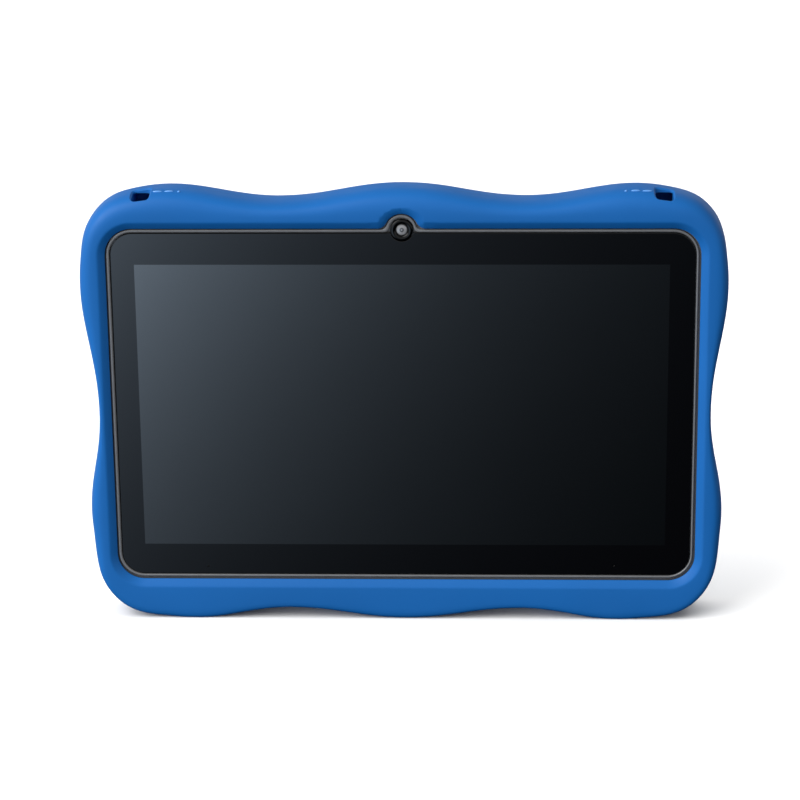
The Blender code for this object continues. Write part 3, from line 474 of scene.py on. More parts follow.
def ring_normals():
    """Outward directions of the ring's points, square to its sides and fanned round its corners."""
    zone = 2 * ZONE_FLAT_STEPS + 2 * FILLET_STEPS + HUMP_STEPS
    angles = [0.0] * SIDE_STEPS + steps_between(0, 90, CORNER_STEPS)
    angles += [90.0] * (2 * EDGE_STEPS + zone) + steps_between(90, 180, CORNER_STEPS)
    angles += [180.0] * SIDE_STEPS + steps_between(180, 270, CORNER_STEPS)
    angles += [270.0] * (2 * EDGE_STEPS + zone) + steps_between(270, 360, CORNER_STEPS)
    turned = np.radians(np.array(angles))
    return np.stack([np.cos(turned), np.sin(turned)], axis=1)


def case_edge_points():
    """The wavy edge of the case as a fine closed line, from one smooth curve through its key points."""
    right = CASE_EDGE_POINTS
    left = [(-x, z) for x, z in reversed(right[1:-1])]
    curve = bpy.data.curves.new("case_edge_line", "CURVE")
    curve.dimensions = "2D"
    curve.fill_mode = "NONE"
    curve.resolution_u = 48
    spline = curve.splines.new("BEZIER")
    spline.bezier_points.add(len(right + left) - 1)
    for point, (x, z) in zip(spline.bezier_points, right + left):
        point.co = (x, z, 0.0)
        point.handle_left_type = "AUTO"
        point.handle_right_type = "AUTO"
    spline.use_cyclic_u = True
    drawn = placed("case_edge_line", curve)
    graph = bpy.context.evaluated_depsgraph_get()
    mesh = bpy.data.meshes.new_from_object(drawn.evaluated_get(graph))
    points = np.array([(vertex.co.x, vertex.co.y) for vertex in mesh.vertices])
    bpy.data.objects.remove(drawn, do_unlink=True)
    bpy.data.meshes.remove(mesh)
    bpy.data.curves.remove(curve)
    return points


def edge_beyond(axis, start):
    """The stretch of the wavy edge past a start along X (axis 0) or Z (axis 1)."""
    edge = case_edge_points()
    return edge[edge[:, axis] > start]


def cast_to_edge(starts, directions, edge):
    """Where a line from each start in its direction first meets the wavy edge."""
    ends = np.roll(edge, -1, axis=0)
    along = ends - edge
    reached = []
    for start, direction in zip(starts, directions):
        across = direction[0] * along[:, 1] - direction[1] * along[:, 0]
        across = np.where(np.abs(across) < 1e-9, 1e-9, across)
        gap = edge - start
        reach = (gap[:, 0] * along[:, 1] - gap[:, 1] * along[:, 0]) / across
        share = (gap[:, 0] * direction[1] - gap[:, 1] * direction[0]) / across
        valid = (reach > 0) & (share >= -1e-6) & (share <= 1 + 1e-6)
        reached.append(start + direction * reach[valid].min())
    return np.array(reached)


def at_depth(points, y):
    """Ring points at one depth, or each at its own."""
    depths = np.broadcast_to(y, len(points))
    return [in_mm(x, depth, z) for (x, z), depth in zip(points, depths)]


def skin(rings, closed=False):
    """A surface through rings of points: the first ring is extruded from each to the next."""
    shape = bmesh.new()
    place = shape.verts.layers.int.new("place")
    verts = [shape.verts.new(point) for point in rings[0]]
    for index, vert in enumerate(verts):
        vert[place] = index
    edges = [shape.edges.new((verts[index - 1], verts[index])) for index in range(len(verts))]
    first = list(edges)
    for points in rings[1:]:
        made = bmesh.ops.extrude_edge_only(shape, edges=edges)["geom"]
        fresh = {item for item in made if isinstance(item, bmesh.types.BMVert)}
        for vert in fresh:
            vert.co = points[vert[place]]
        edges = [
            item for item in made if isinstance(item, bmesh.types.BMEdge) and set(item.verts) <= fresh
        ]
    if closed:
        bmesh.ops.bridge_loops(shape, edges=first + edges)
    else:
        bmesh.ops.edgeloop_fill(shape, edges=first)
        bmesh.ops.edgeloop_fill(shape, edges=edges)
    bmesh.ops.recalc_face_normals(shape, faces=shape.faces)
    return shape


def finish_piece(name, shape, surface, body=TABLET, replaced=(), sharp=40.0):
    """Makes the object of a bmesh, with its material, shading and the body it rides on."""
    mesh = as_mesh(name, shape)
    shade(mesh, sharp)
    piece = placed(name, mesh)
    for material in surface if isinstance(surface, list) else [surface]:
        mesh.materials.append(material)
    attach(piece, body)
    if replaced:
        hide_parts(*replaced)
    return piece


def extruded(points, move):
    """A solid from one flat face of 3D points, extruded along a vector."""
    shape = bmesh.new()
    face = shape.faces.new([shape.verts.new(point) for point in points])
    made = bmesh.ops.extrude_face_region(shape, geom=[face])["geom"]
    top = [item for item in made if isinstance(item, bmesh.types.BMVert)]
    bmesh.ops.translate(shape, verts=top, vec=move)
    bmesh.ops.recalc_face_normals(shape, faces=shape.faces)
    return shape


def eased(shape, width, segments=2, angle=35.0):
    """Bevels every edge sharper than the angle."""
    edges = [
        edge for edge in shape.edges
        if len(edge.link_faces) == 2 and edge.calc_face_angle() > math.radians(angle)
    ]
    bmesh.ops.bevel(
        shape, geom=edges, offset=width, offset_type="OFFSET", segments=segments, profile=0.5,
        affect="EDGES", clamp_overlap=True, material=-1,
    )
    return shape


def block(low, high):
    """A box between two corners in millimetres."""
    shape = bmesh.new()
    low, high = in_mm(*low), in_mm(*high)
    matrix = Matrix.Translation((low + high) / 2) @ Matrix.Diagonal((*(high - low), 1.0))
    bmesh.ops.create_cube(shape, size=1.0, matrix=matrix)
    return shape


def turned(profile, x, z, steps=64):
    """A solid turned about an axis along Y through (x, z); profile is (radius, y) in millimetres."""
    shape = bmesh.new()
    verts = [shape.verts.new(in_mm(x + radius, y, z)) for radius, y in profile]
    edges = [shape.edges.new(pair) for pair in zip(verts, verts[1:])]
    if profile[0][0] > 0.0:
        edges.append(shape.edges.new((verts[-1], verts[0])))
    bmesh.ops.spin(
        shape, geom=verts + edges, cent=in_mm(x, 0, z), axis=(0, 1, 0), angle=math.radians(360),
        steps=steps, use_merge=True, use_duplicate=False,
    )
    bmesh.ops.remove_doubles(shape, verts=shape.verts, dist=0.002 * MM)
    bmesh.ops.recalc_face_normals(shape, faces=shape.faces)
    return shape


def add_boolean(piece, tool, operation):
    step = piece.modifiers.new("boolean", "BOOLEAN")
    step.operation = operation
    step.solver = "EXACT"
    step.object = tool


def carve(piece, shapes, sharp=40.0):
    """Cuts bmesh solids out of a piece and keeps the result as its mesh."""
    tools = [placed("cutter", as_mesh("cutter", shape)) for shape in shapes]
    for tool in tools:
        add_boolean(piece, tool, "DIFFERENCE")
    graph = bpy.context.evaluated_depsgraph_get()
    mesh = bpy.data.meshes.new_from_object(piece.evaluated_get(graph), depsgraph=graph)
    piece.modifiers.clear()
    old = piece.data
    piece.data = mesh
    bpy.data.meshes.remove(old)
    mesh.name = piece.name
    for tool in tools:
        bpy.data.objects.remove(tool, do_unlink=True)
    shade(mesh, sharp)


def fused(first, second):
    """Two solids joined into one."""
    parts = [placed("part", as_mesh("part", shape)) for shape in (first, second)]
    add_boolean(parts[0], parts[1], "UNION")
    joined = bmesh.new()
    joined.from_object(parts[0], bpy.context.evaluated_depsgraph_get())
    for part in parts:
        bpy.data.objects.remove(part, do_unlink=True)
    return joined


# ---------------- case

def bulge(y, power):
    """Share of the way from the crest to the outer edge that the case's skin has reached at a depth."""
    return max(0.0, 1 - (abs(y) / HALF_DEPTH) ** power) ** (1 / power)


def bulge_powers():
    """How full the rounded section is at each point of a ring: most at the feet, more on the right."""
    normals = ring_normals()
    down = np.clip(-normals[:, 1], 0, None) ** 2
    right = np.clip(normals[:, 0], 0, None) ** 2
    left_power, right_power = SIDE_POWERS[-1], SIDE_POWERS[1]
    return left_power + (FOOT_POWER - left_power) * down + (right_power - left_power) * right


def bulge_rings(inner, outer, depth_sign, steps):
    """Rings from the crest out to the widest line, along a rounded section."""
    rings = []
    powers = bulge_powers()
    for step in range(1, steps + 1):
        turn = math.radians(90 * step / steps)
        share = math.sin(turn) ** (2 / powers)
        y = depth_sign * HALF_DEPTH * max(math.cos(turn), 0.0) ** (2 / powers)
        rings.append((inner + (outer - inner) * share[:, None], y))
    return rings


def case_lines():
    """The crest of the lip, the widest line and the inner line of the back rim, point for point."""
    edge = case_edge_points()
    crest = ring(*LIP, SCREEN_Z, offset=CREST_OFFSET)
    outer = cast_to_edge(crest, ring_normals(), edge)
    inward = ring(*RECESS) - outer
    inward /= np.linalg.norm(inward, axis=1)[:, None]
    return crest, outer, outer + inward * BACK_INSET


def case_sections(slope_depth):
    """Every ring of the case: the wall round the tablet, the lip, the outside and the stand's pocket."""
    crest, outer, back = case_lines()
    foot = -HALF_DEPTH + slope_depth
    cavity = ring(*CAVITY)
    sections = [(cavity, CAVITY_BACK), (cavity, WALL_REACH)]
    lip_profile = [
        (0.0, WALL_REACH), (0.0, foot + 0.12), (0.03, foot + 0.03), (0.12, foot - 0.05),
        (1.72, -HALF_DEPTH + 0.22), (2.0, -HALF_DEPTH + 0.09), (2.28, -HALF_DEPTH + 0.02),
    ]
    for offset, y in lip_profile:
        sections.append((ring(*LIP, SCREEN_Z, offset=offset), y))
    sections.append((crest, -HALF_DEPTH))
    sections += bulge_rings(crest, outer, -1, 16)
    sections += bulge_rings(back, outer, 1, 14)[-2::-1]
    sections.append((back, HALF_DEPTH))
    rim_profile = [
        (1.0, HALF_DEPTH), (0.35, HALF_DEPTH - 0.08), (0.08, HALF_DEPTH - 0.35), (0.0, HALF_DEPTH - 0.9),
        (0.0, RECESS_Y + 0.6), (-0.18, RECESS_Y + 0.18), (-0.6, RECESS_Y),
    ]
    sections += [(ring(*RECESS, offset=offset), y) for offset, y in rim_profile]
    pocket_profile = [(0.35, RECESS_Y), (0.1, RECESS_Y + 0.08), (0.0, RECESS_Y - 0.25), (0.0, POCKET_Y)]
    sections += [(ring(*POCKET, offset=offset), y) for offset, y in pocket_profile]
    return sections


def notch_cutter(slope_depth):
    """The notch in the lip round the camera: an arch that widens towards the front as the lip does."""
    foot = -HALF_DEPTH + slope_depth
    lean = (CREST_OFFSET - 0.35) / slope_depth
    half, ahead = 9.2, 0.75

    def arch(offset, y):
        hump = hump_points(LIP_TOP + offset, 4.9 + offset, 3.0 - offset)
        line = [point for point in hump if abs(point[0]) < half]
        right = [(half, LIP_TOP - 3.0), (half, line[0][1])]
        left = [(-half, line[-1][1]), (-half, LIP_TOP - 3.0)]
        return [in_mm(x, y, z - 0.03) for x, z in right + line + left]

    return skin([
        arch(0.0, -4.05), arch(0.0, foot + 0.12), arch(0.04, foot + 0.02), arch(0.14, foot - 0.06),
        arch(0.14 + (slope_depth - 0.06) * lean, -HALF_DEPTH),
        arch(0.14 + (slope_depth - 0.06 + ahead * 0.5) * lean, -HALF_DEPTH - ahead),
    ])


def slot_outline(low, high):
    """An upright slot with round ends, as (y, z)."""
    front, back = SIDE_SLOT
    radius = (back - front) / 2
    middle = (back + front) / 2
    upper = arc_points((middle, high - radius), radius, 0, 180, 12)
    return upper + arc_points((middle, low + radius), radius, 180, 360, 12)


def grown(points, amount):
    """A convex outline moved outwards, from its own middle."""
    points = np.array(points)
    tangents = np.roll(points, -1, axis=0) - np.roll(points, 1, axis=0)
    tangents /= np.linalg.norm(tangents, axis=1)[:, None]
    normals = np.stack([tangents[:, 1], -tangents[:, 0]], axis=1)
    inward = np.sum(normals * (points - points.mean(axis=0)), axis=1) < 0
    normals[inward] *= -1
    return [tuple(point) for point in points + normals * amount]


def skin_reach(outline_line, along, y, crest, axis, power):
    """How far out the case's skin is at a place along a straight side and a depth."""
    fixed = 1 - axis
    order = np.argsort(outline_line[:, fixed])
    outer = float(np.interp(along, outline_line[order, fixed], outline_line[order, axis]))
    inner = crest if y < 0 else outer - BACK_INSET
    return inner + (outer - inner) * bulge(y, power)


def window_cutter(outline, side, side_line, chamfer):
    """A cutter through the side wall with a sloped mouth that follows the case's skin."""
    wide = grown(outline, chamfer)

    def reach(y, z, out):
        return side * (skin_reach(side_line, z, y, CREST_X, 0, SIDE_POWERS[side]) + out)

    return skin([
        [in_mm(side * 80.0, y, z) for y, z in outline],
        [in_mm(reach(y, z, -chamfer), y, z) for y, z in outline],
        [in_mm(reach(y, z, 0.02), y, z) for y, z in wide],
        [in_mm(side * 105.0, y, z) for y, z in wide],
    ])


def strap_cutter(side, top_line):
    """The well of a strap slot, its mouth sloped where it breaks through the top of the case."""
    outline = shifted(rounded_box(5.2, 6.4, 1.1), side * STRAP_X, WELL_Y)
    wide = grown(outline, WELL_CHAMFER)

    def level(x, y, out):
        return skin_reach(top_line, x, y, CREST_Z, 1, SIDE_POWERS[-1]) + out

    return skin([
        [in_mm(x, y, WELL_FLOOR) for x, y in outline],
        [in_mm(x, y, level(x, y, -WELL_CHAMFER)) for x, y in outline],
        [in_mm(x, y, level(x, y, 0.02)) for x, y in wide],
        [in_mm(x, y, 140.0) for x, y in wide],
    ])


def strap_chamber(side):
    """The hollow that leads a strap from its well over and down to the slot in the back."""
    line = [
        (-6.95, 123.55), (4.6, 123.55), (4.6, 116.55), (6.8, 116.55), (6.8, 127.3), (-0.6, 128.7),
        (-6.95, 126.0),
    ]
    start = side * STRAP_X - 2.55
    return extruded([in_mm(start, y, z) for y, z in line], in_mm(5.1, 0, 0))


def rounded_box(width, height, corner, steps=6):
    """Points of a rounded rectangle about the origin."""
    x, y = width / 2 - corner, height / 2 - corner
    points = []
    for quarter, (side, level) in enumerate([(1, -1), (1, 1), (-1, 1), (-1, -1)]):
        start = -90 + 90 * quarter
        stop = math.radians(start + 90)
        points += arc_points((side * x, level * y), corner, start, start + 90, steps)
        points.append((side * x + corner * math.cos(stop), level * y + corner * math.sin(stop)))
    return points


def shifted(points, across, along):
    return [(across + x, along + y) for x, y in points]


def back_cutter(centre, size, bottom, surface, flare):
    """A cutter into the back with a sloped mouth; size is (width, height, corner)."""
    outline = shifted(rounded_box(*size, 10), *centre)
    wide = grown(outline, flare)
    return skin([
        at_depth(outline, bottom), at_depth(outline, surface - flare), at_depth(wide, surface + 0.01),
        at_depth(wide, 20.0),
    ])


class KT_OT_case(bpy.types.Operator):
    """Builds the silicone bumper with its lip, wavy edge, windows and strap slots"""

    bl_idname = "kids_tablet.case"
    bl_label = "Bumper Case"

    def execute(self, context):
        sizes = context.scene.tablet_sizes
        shape = skin([at_depth(points, y) for points, y in case_sections(sizes.slope_depth / MM)])
        for vert in shape.verts:
            vert.co.z = max(vert.co.z, 0.0)
        piece = finish_piece(
            "bumper_case", shape, silicone_material(), replaced=("silicone_case",)
        )
        chamfer = sizes.window_chamfer / MM
        right_line = edge_beyond(0, RIGHT_LINE_START)
        top_line = edge_beyond(1, TOP_LINE_START)
        cutters = [
            notch_cutter(sizes.slope_depth / MM),
            window_cutter(slot_outline(*PORT_LEVELS), -1, right_line, chamfer),
            window_cutter(slot_outline(*KEY_LEVELS), 1, right_line, chamfer),
        ]
        cutters += [strap_cutter(side, top_line) for side in (-1, 1)]
        cutters += [strap_chamber(side) for side in (-1, 1)]
        cutters += [
            back_cutter((side * STRAP_X, PASSAGE_Z), (5.2, 5.0, 0.8), 5.5, HALF_DEPTH, 0.5)
            for side in (-1, 1)
        ]
        cutters += [
            back_cutter(REAR_CAMERA, (15.0, 15.0, 7.45), 2.0, RECESS_Y, 1.2),
            back_cutter(SPEAKER, (28.0, 8.0, 3.9), 2.0, RECESS_Y, 0.8),
        ]
        carve(piece, cutters)
        return {"FINISHED"}


class KT_OT_strap_marks(bpy.types.Operator):
    """Adds the small raised dashes that point to the strap slots"""

    bl_idname = "kids_tablet.strap_marks"
    bl_label = "Strap Marks"

    def execute(self, context):
        top_line = edge_beyond(1, TOP_LINE_START)
        shape = bmesh.new()
        for side in (-1, 1):
            for middle, half in ((70.0, 1.4), (66.7, 1.3), (63.9, 0.4)):
                add_dash(shape, side * middle, half, top_line)
        # The dashes' lighter colour is a painted glint on them
        finish_piece("strap_marks", shape, polished_silicone_painted_glint_material(), sharp=60.0)
        return {"FINISHED"}


def add_dash(shape, middle_x, half, top_line):
    """One low rounded ridge on the shoulder of the case's top."""
    y = -4.6
    level = skin_reach(top_line, middle_x, y, CREST_Z, 1, SIDE_POWERS[-1])
    made = bmesh.ops.create_uvsphere(shape, u_segments=24, v_segments=12, radius=1.0)["verts"]
    bmesh.ops.scale(shape, verts=made, vec=in_mm(half, 0.42, 0.30))
    bmesh.ops.translate(shape, verts=made, vec=in_mm(middle_x, y, level))


# ---------------- screen

class KT_OT_rim(bpy.types.Operator):
    """Builds the painted front frame whose rim shows between the glass and the lip"""

    bl_idname = "kids_tablet.rim"
    bl_label = "Front Frame"

    def execute(self, context):
        # Offset from the glass outline, and depth
        profile = [
            (0.25, -5.25), (0.25, -6.66), (0.30, -6.82), (0.42, -6.91), (0.58, -6.94), (0.78, -6.94),
            (0.94, -6.88), (1.03, -6.76), (1.06, -6.60), (1.06, -6.25), (1.15, -6.12),
        ]
        start, stop = profile[0][0], profile[-1][0]
        width, height, corner = GLASS
        sections = []
        for offset, y in profile:
            hump = (3.5 + (offset - start) * 1.15, 1.6)
            points = ring(width + 2 * offset, height + 2 * offset, corner + offset, SCREEN_Z, hump=hump)
            share = (offset - start) / (stop - start)
            sections.append((points + np.array(RIM_SHIFT) * share, y))
        body_profile = [(-0.3, -6.10), (-0.08, -6.02), (0.0, -5.8), (0.0, FRAME_BACK)]
        sections += [(ring(*FRAME_BODY, offset=offset), y) for offset, y in body_profile]
        sections += [(ring(*FRAME_OPENING), y) for y in (FRAME_BACK, -5.25)]
        shape = skin([at_depth(points, y) for points, y in sections], closed=True)
        finish_piece(
            "front_rim", shape, rim_material(), replaced=("front_frame",), sharp=50.0
        )
        return {"FINISHED"}


def glass_outline():
    """The glass seen from the front, with the bite that clears the camera ring."""
    top = SCREEN_Z + GLASS[1] / 2
    bite = 3.4
    rise = CAMERA_Z - top
    half = math.sqrt(bite ** 2 - rise ** 2)
    start = -math.degrees(math.asin(rise / bite))
    arc = arc_points((0.0, CAMERA_Z), bite, start, -180 - start, 24) + [(-half, top)]
    kept = []
    for x, z in ring(*GLASS, SCREEN_Z):
        if z > top - 0.01 and abs(x) < half + 0.3:
            kept += arc
            arc = []
        else:
            kept.append((x, z))
    return kept


class KT_OT_glass(bpy.types.Operator):
    """Builds the cover glass with its printed border, the clear area over the display and two pinholes"""

    bl_idname = "kids_tablet.glass"
    bl_label = "Cover Glass"

    def execute(self, context):
        thickness = in_mm(0, GLASS_BACK - GLASS_FRONT, 0)
        shape = extruded(at_depth(glass_outline(), GLASS_FRONT), thickness)
        eased(shape, 0.14 * MM, segments=3, angle=60.0)
        piece = finish_piece(
            "screen_glass", shape, [printed_glass_material(), display_glass_material()],
            replaced=("cover_glass",),
        )
        bore = [(0.0, -8.0), (0.35, -8.0), (0.35, -4.0), (0.0, -4.0)]
        carve(piece, [turned(bore, x, z, steps=16) for x, z in PINHOLES], sharp=10.0)
        score_window(piece.data)
        return {"FINISHED"}


def score_window(mesh):
    """Divides the glass's front face round the clear area and gives that area its material."""
    shape = bmesh.new()
    shape.from_mesh(mesh)
    (middle_x, middle_z), (width, height) = ACTIVE_CENTRE, ACTIVE_SIZE
    left, right = middle_x - width / 2, middle_x + width / 2
    bottom, top = middle_z - height / 2, middle_z + height / 2
    cuts = [(left, 0, 1, 0), (right, 0, 1, 0), (0, bottom, 0, 1), (0, top, 0, 1)]
    for x, z, across, up in cuts:
        front = [face for face in shape.faces if face.normal.y < -0.99]
        geom = front + list({edge for face in front for edge in face.edges})
        geom += list({vert for face in front for vert in face.verts})
        bmesh.ops.bisect_plane(
            shape, geom=geom, dist=1e-7, plane_co=in_mm(x, 0, z), plane_no=(across, 0, up)
        )
    for face in shape.faces:
        centre = face.calc_center_median() / MM
        inside = left < centre.x < right and bottom < centre.z < top
        face.material_index = 1 if inside and face.normal.y < -0.99 else 0
    shape.to_mesh(mesh)
    shape.free()


class KT_OT_front_camera(bpy.types.Operator):
    """Builds the front camera's black ring and its coated window"""

    bl_idname = "kids_tablet.front_camera"
    bl_label = "Front Camera"

    def execute(self, context):
        collar = [
            (1.72, -6.55), (1.74, -6.80), (1.82, -6.98), (2.0, -7.12), (2.3, -7.19), (2.7, -7.20),
            (2.98, -7.15), (3.15, -7.04), (3.24, -6.88), (3.25, -6.7), (3.25, -4.95), (1.72, -4.95),
        ]
        finish_piece(
            "camera_collar", turned(collar, 0.0, CAMERA_Z), gloss_black_material(),
            replaced=("front_camera_ring",),
        )
        window = [
            (0.0, -6.86), (0.5, -6.85), (1.0, -6.80), (1.4, -6.71), (1.62, -6.6), (1.65, -6.5),
            (1.65, -5.9), (0.0, -5.9),
        ]
        finish_piece(
            "camera_window", turned(window, 0.0, CAMERA_Z), lens_material(),
            replaced=("front_camera_lens",),
        )
        return {"FINISHED"}


# ---------------- stand

class KT_OT_stand(bpy.types.Operator):
    """Builds the stand's tray and its fold-out leg with grip ribs"""

    bl_idname = "kids_tablet.stand"
    bl_label = "Stand"

    def execute(self, context):
        surface = moulded_material("spark_textured_nylon", context.scene.tablet_colours.stand, 0.42)
        tray = finish_piece(
            "stand_tray", tray_solid(), surface, replaced=("kickstand_tray",)
        )
        carve(tray, [pin_cutter(32.2)])
        leg = finish_piece(
            "stand_leg", leg_solid(), surface, "kickstand", ("kickstand_leg",)
        )
        carve(leg, [pin_cutter(40.0), finger_scoop()] + leg_grooves())
        return {"FINISHED"}


def tray_solid():
    """The stand's tray: outer wall, rounded rim, inner wall and floor, skinned from ring to ring."""
    front, floor, back = 5.1, 5.85, 8.6
    outer = (66.0, 84.0, 5.0, 62.0)
    inner = (61.6, 79.6, 2.8, 62.0)
    sections = [
        (outer, -0.3, front), (outer, 0.0, front + 0.3), (outer, 0.0, back - 0.45),
        (outer, -0.13, back - 0.13), (outer, -0.45, back), (inner, 0.4, back),
        (inner, 0.1, back - 0.12), (inner, 0.0, back - 0.4), (inner, 0.0, floor + 0.4),
        (inner, -0.12, floor + 0.12), (inner, -0.4, floor),
    ]
    return skin([at_depth(plain_ring(*line, offset), y) for line, offset, y in sections])


def plain_ring(width, height, corner, middle_z, offset=0.0):
    box = rounded_box(width + 2 * offset, height + 2 * offset, corner + offset, 8)
    return shifted(box, 0, middle_z)


def pin_cutter(half):
    shape = bmesh.new()
    lying = Matrix.Translation(in_mm(0, HINGE_Y, HINGE_Z)) @ Matrix.Rotation(math.radians(90), 4, "Y")
    radius = PIN_HOLE_RADIUS * MM
    bmesh.ops.create_cone(
        shape, cap_ends=True, segments=32, radius1=radius, radius2=radius, depth=2 * half * MM,
        matrix=lying,
    )
    return shape


def leg_solid():
    """The leg: a flat tongue with rounded corners whose top is a full round about the hinge pin."""
    half, low, corner = LEG_HALF_WIDTH, 29.0, 12.0
    outline = [(half, low + corner), (half, HINGE_Z), (-half, HINGE_Z)]
    outline += arc_points((-half + corner, low + corner), corner, 180, 270, 14)
    outline.append((-half + corner, low))
    outline += arc_points((half - corner, low + corner), corner, 270, 360, 14)
    tongue = extruded(at_depth(outline, HINGE_Y - LEG_RADIUS), in_mm(0, 2 * LEG_RADIUS, 0))
    eased(tongue, 0.45 * MM, segments=3, angle=50.0)
    circle = arc_points((0, 0), LEG_RADIUS - 0.001, 0, 360, 32)
    barrel = [in_mm(-half, HINGE_Y + y, HINGE_Z + z) for y, z in circle]
    return fused(tongue, extruded(barrel, in_mm(2 * half, 0, 0)))


def finger_scoop():
    """The shallow hollow in the leg's back, with a sloped edge; each ring has an offset and a depth."""
    rings = ((-0.5, 7.9), (0.0, 8.2), (0.5, 8.62), (0.5, 12.0))
    return skin([at_depth(plain_ring(*SCOOP, offset), y) for offset, y in rings])


def leg_grooves():
    """Shallow grip grooves across the foot of the leg."""
    grooves = []
    for level in range(5):
        outline = shifted(rounded_box(26.0, 0.8, 0.39, 4), 0, 32.4 + 1.8 * level)
        grooves.append(extruded(at_depth(outline, 8.25), in_mm(0, 4, 0)))
    return grooves


# ---------------- buttons, ports and rear camera

class KT_OT_buttons(bpy.types.Operator):
    """Builds the three edge buttons with rounded caps and their inner flanges"""

    bl_idname = "kids_tablet.buttons"
    bl_label = "Edge Buttons"

    def execute(self, context):
        surface = moulded_material("satin_black_abs", linear("#202124"), 0.36, 0.25, 0.008)
        cap = [(0.0, 84.9), (0.0, 87.35), (-0.08, 87.55), (-0.22, 87.67), (-0.45, 87.7)]
        for name, level in BUTTON_LEVELS.items():
            outline = shifted(rounded_box(2.2, 7.6, 1.05, 8), -0.3, level)
            sections = [[in_mm(x, y, z) for y, z in grown(outline, offset)] for offset, x in cap]
            flange = block((84.62, -1.88, level - 4.38), (85.38, 1.28, level + 4.38))
            eased(flange, 0.15 * MM)
            finish_piece(
                name + "_cap", fused(skin(sections), flange), surface, name, (name + "_button",),
            )
        return {"FINISHED"}


class KT_OT_ports(bpy.types.Operator):
    """Adds what shows in the sockets: the charging tongue, its contacts and the jack's springs"""

    bl_idname = "kids_tablet.ports"
    bl_label = "Sockets"

    def execute(self, context):
        black = moulded_material("glass_filled_lcp", linear("#141416"), 0.4, 0.2, 0.006)
        gold = brushed_metal_material("gold_plated_contact", linear("#D9B45A"), 0.25)
        tongue = block((-86.0, -1.12, 62.65), (-80.72, -0.42, 69.35))
        eased(tongue, 0.1 * MM)
        finish_piece("charging_tongue", tongue, black)
        pads = bmesh.new()
        for face_y in (-1.14, -0.42):
            for place in range(8):
                z = 63.2 + place * 0.8
                copy_into(pads, block((-85.6, face_y, z - 0.16), (-82.6, face_y + 0.02, z + 0.16)))
        finish_piece("charging_contacts", pads, gold)
        springs = bmesh.new()
        for z in (81.45, 78.05):
            spring = block((-83.5, -0.9, z), (-79.0, 0.15, z + 0.5))
            copy_into(springs, eased(spring, 0.12 * MM))
        finish_piece("jack_springs", springs, gold)
        return {"FINISHED"}


def copy_into(target, source):
    mesh = as_mesh("copied", source)
    target.from_mesh(mesh)
    bpy.data.meshes.remove(mesh)


class KT_OT_rear_camera(bpy.types.Operator):
    """Builds the rear camera's polished ring and its domed window"""

    bl_idname = "kids_tablet.rear_camera"
    bl_label = "Rear Camera"

    def execute(self, context):
        metal = brushed_metal_material("turned_aluminium", linear("#B9BBBE"), 0.22)
        collar = [
            (2.72, 1.75), (4.25, 1.75), (4.25, 3.28), (4.2, 3.42), (4.05, 3.52), (3.85, 3.56),
            (3.3, 3.56), (3.0, 3.5), (2.82, 3.36), (2.72, 3.15),
        ]
        finish_piece(
            "rear_camera_collar", turned(collar, *REAR_CAMERA), metal,
            replaced=("rear_camera_ring",),
        )
        window = [
            (0.0, 1.75), (2.6, 1.75), (2.6, 2.85), (2.45, 2.98), (2.0, 3.06), (1.0, 3.13), (0.0, 3.15),
        ]
        finish_piece(
            "rear_camera_window", turned(window, *REAR_CAMERA), bpy.data.materials["gloss_black_pmma"],
            replaced=("rear_camera_lens",),
        )
        return {"FINISHED"}


# ---------------- frame parts that keep their shape

class KT_OT_inner_parts(bpy.types.Operator):
    """Gives the cover, boards, chips, cables and battery their materials"""

    bl_idname = "kids_tablet.inner_parts"
    bl_label = "Inner Parts"

    def execute(self, context):
        steel = brushed_metal_material("drawn_steel", linear("#B4B6B9"), 0.3)
        chip = moulded_material("epoxy_moulded_chip", linear("#1E1E20"), 0.5, 0.15, 0.004)
        ivory = moulded_material("ivory_nylon", linear("#CFC6AE"), 0.45)
        shell = context.scene.tablet_colours.shell
        cover = moulded_material("textured_abs_cover", shell, 0.46, 0.5, 0.02)
        film = film_material("polyimide_film", "#B07A2C", "#C99345", 0.5)
        board = board_material()
        screws = [f"board_screw_{number}" for number in range(1, 5)]
        surfaces = {
            cover: ["rear_cover"],
            steel: [
                "kickstand_pin", "usb_socket", "card_socket", "microphone", "wifi_module", "power_switch",
                "volume_up_switch", "volume_down_switch", *screws],
            chip: [
                "headphone_jack", "speaker", "processor_chip", "memory_chip", "storage_chip",
                "power_chip", "front_camera_module", "rear_camera_module"],
            ivory: ["lcd_connector", "battery_connector"],
            film: [
                "front_camera_flex", "rear_camera_flex", "microphone_flex", "lcd_flex", "touch_flex",
                "wifi_antenna", "key_flex"],
            board: ["main_board", "key_board"],
            foil_material(): ["battery"],
            moulded_material("foam_tape", linear("#18181A"), 0.8, 0.4, 0.05): [
                "glass_tape", "battery_tape"],
            moulded_material("polariser_film", linear("#0C0D10"), 0.25, 0.3, 0.002): ["lcd_cell"],
            moulded_material("white_polycarbonate", linear("#E2E3E3"), 0.4): [
                "backlight_unit", "status_led"],
            moulded_material("red_pvc_lead", linear("#B3211F"), 0.45): [
                "speaker_lead_red", "battery_lead_red"],
            moulded_material("black_pvc_lead", linear("#19191A"), 0.45): [
                "speaker_lead_black", "battery_lead_black", "antenna_lead"],
            moulded_material("acetal_plunger", linear("#2A2B2D"), 0.4): [
                "power_plunger", "volume_up_plunger", "volume_down_plunger"],
        }
        for surface, names in surfaces.items():
            for name in names:
                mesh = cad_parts[name].data
                mesh.materials.clear()
                mesh.materials.append(surface)
        return {"FINISHED"}


# ---------------- stage

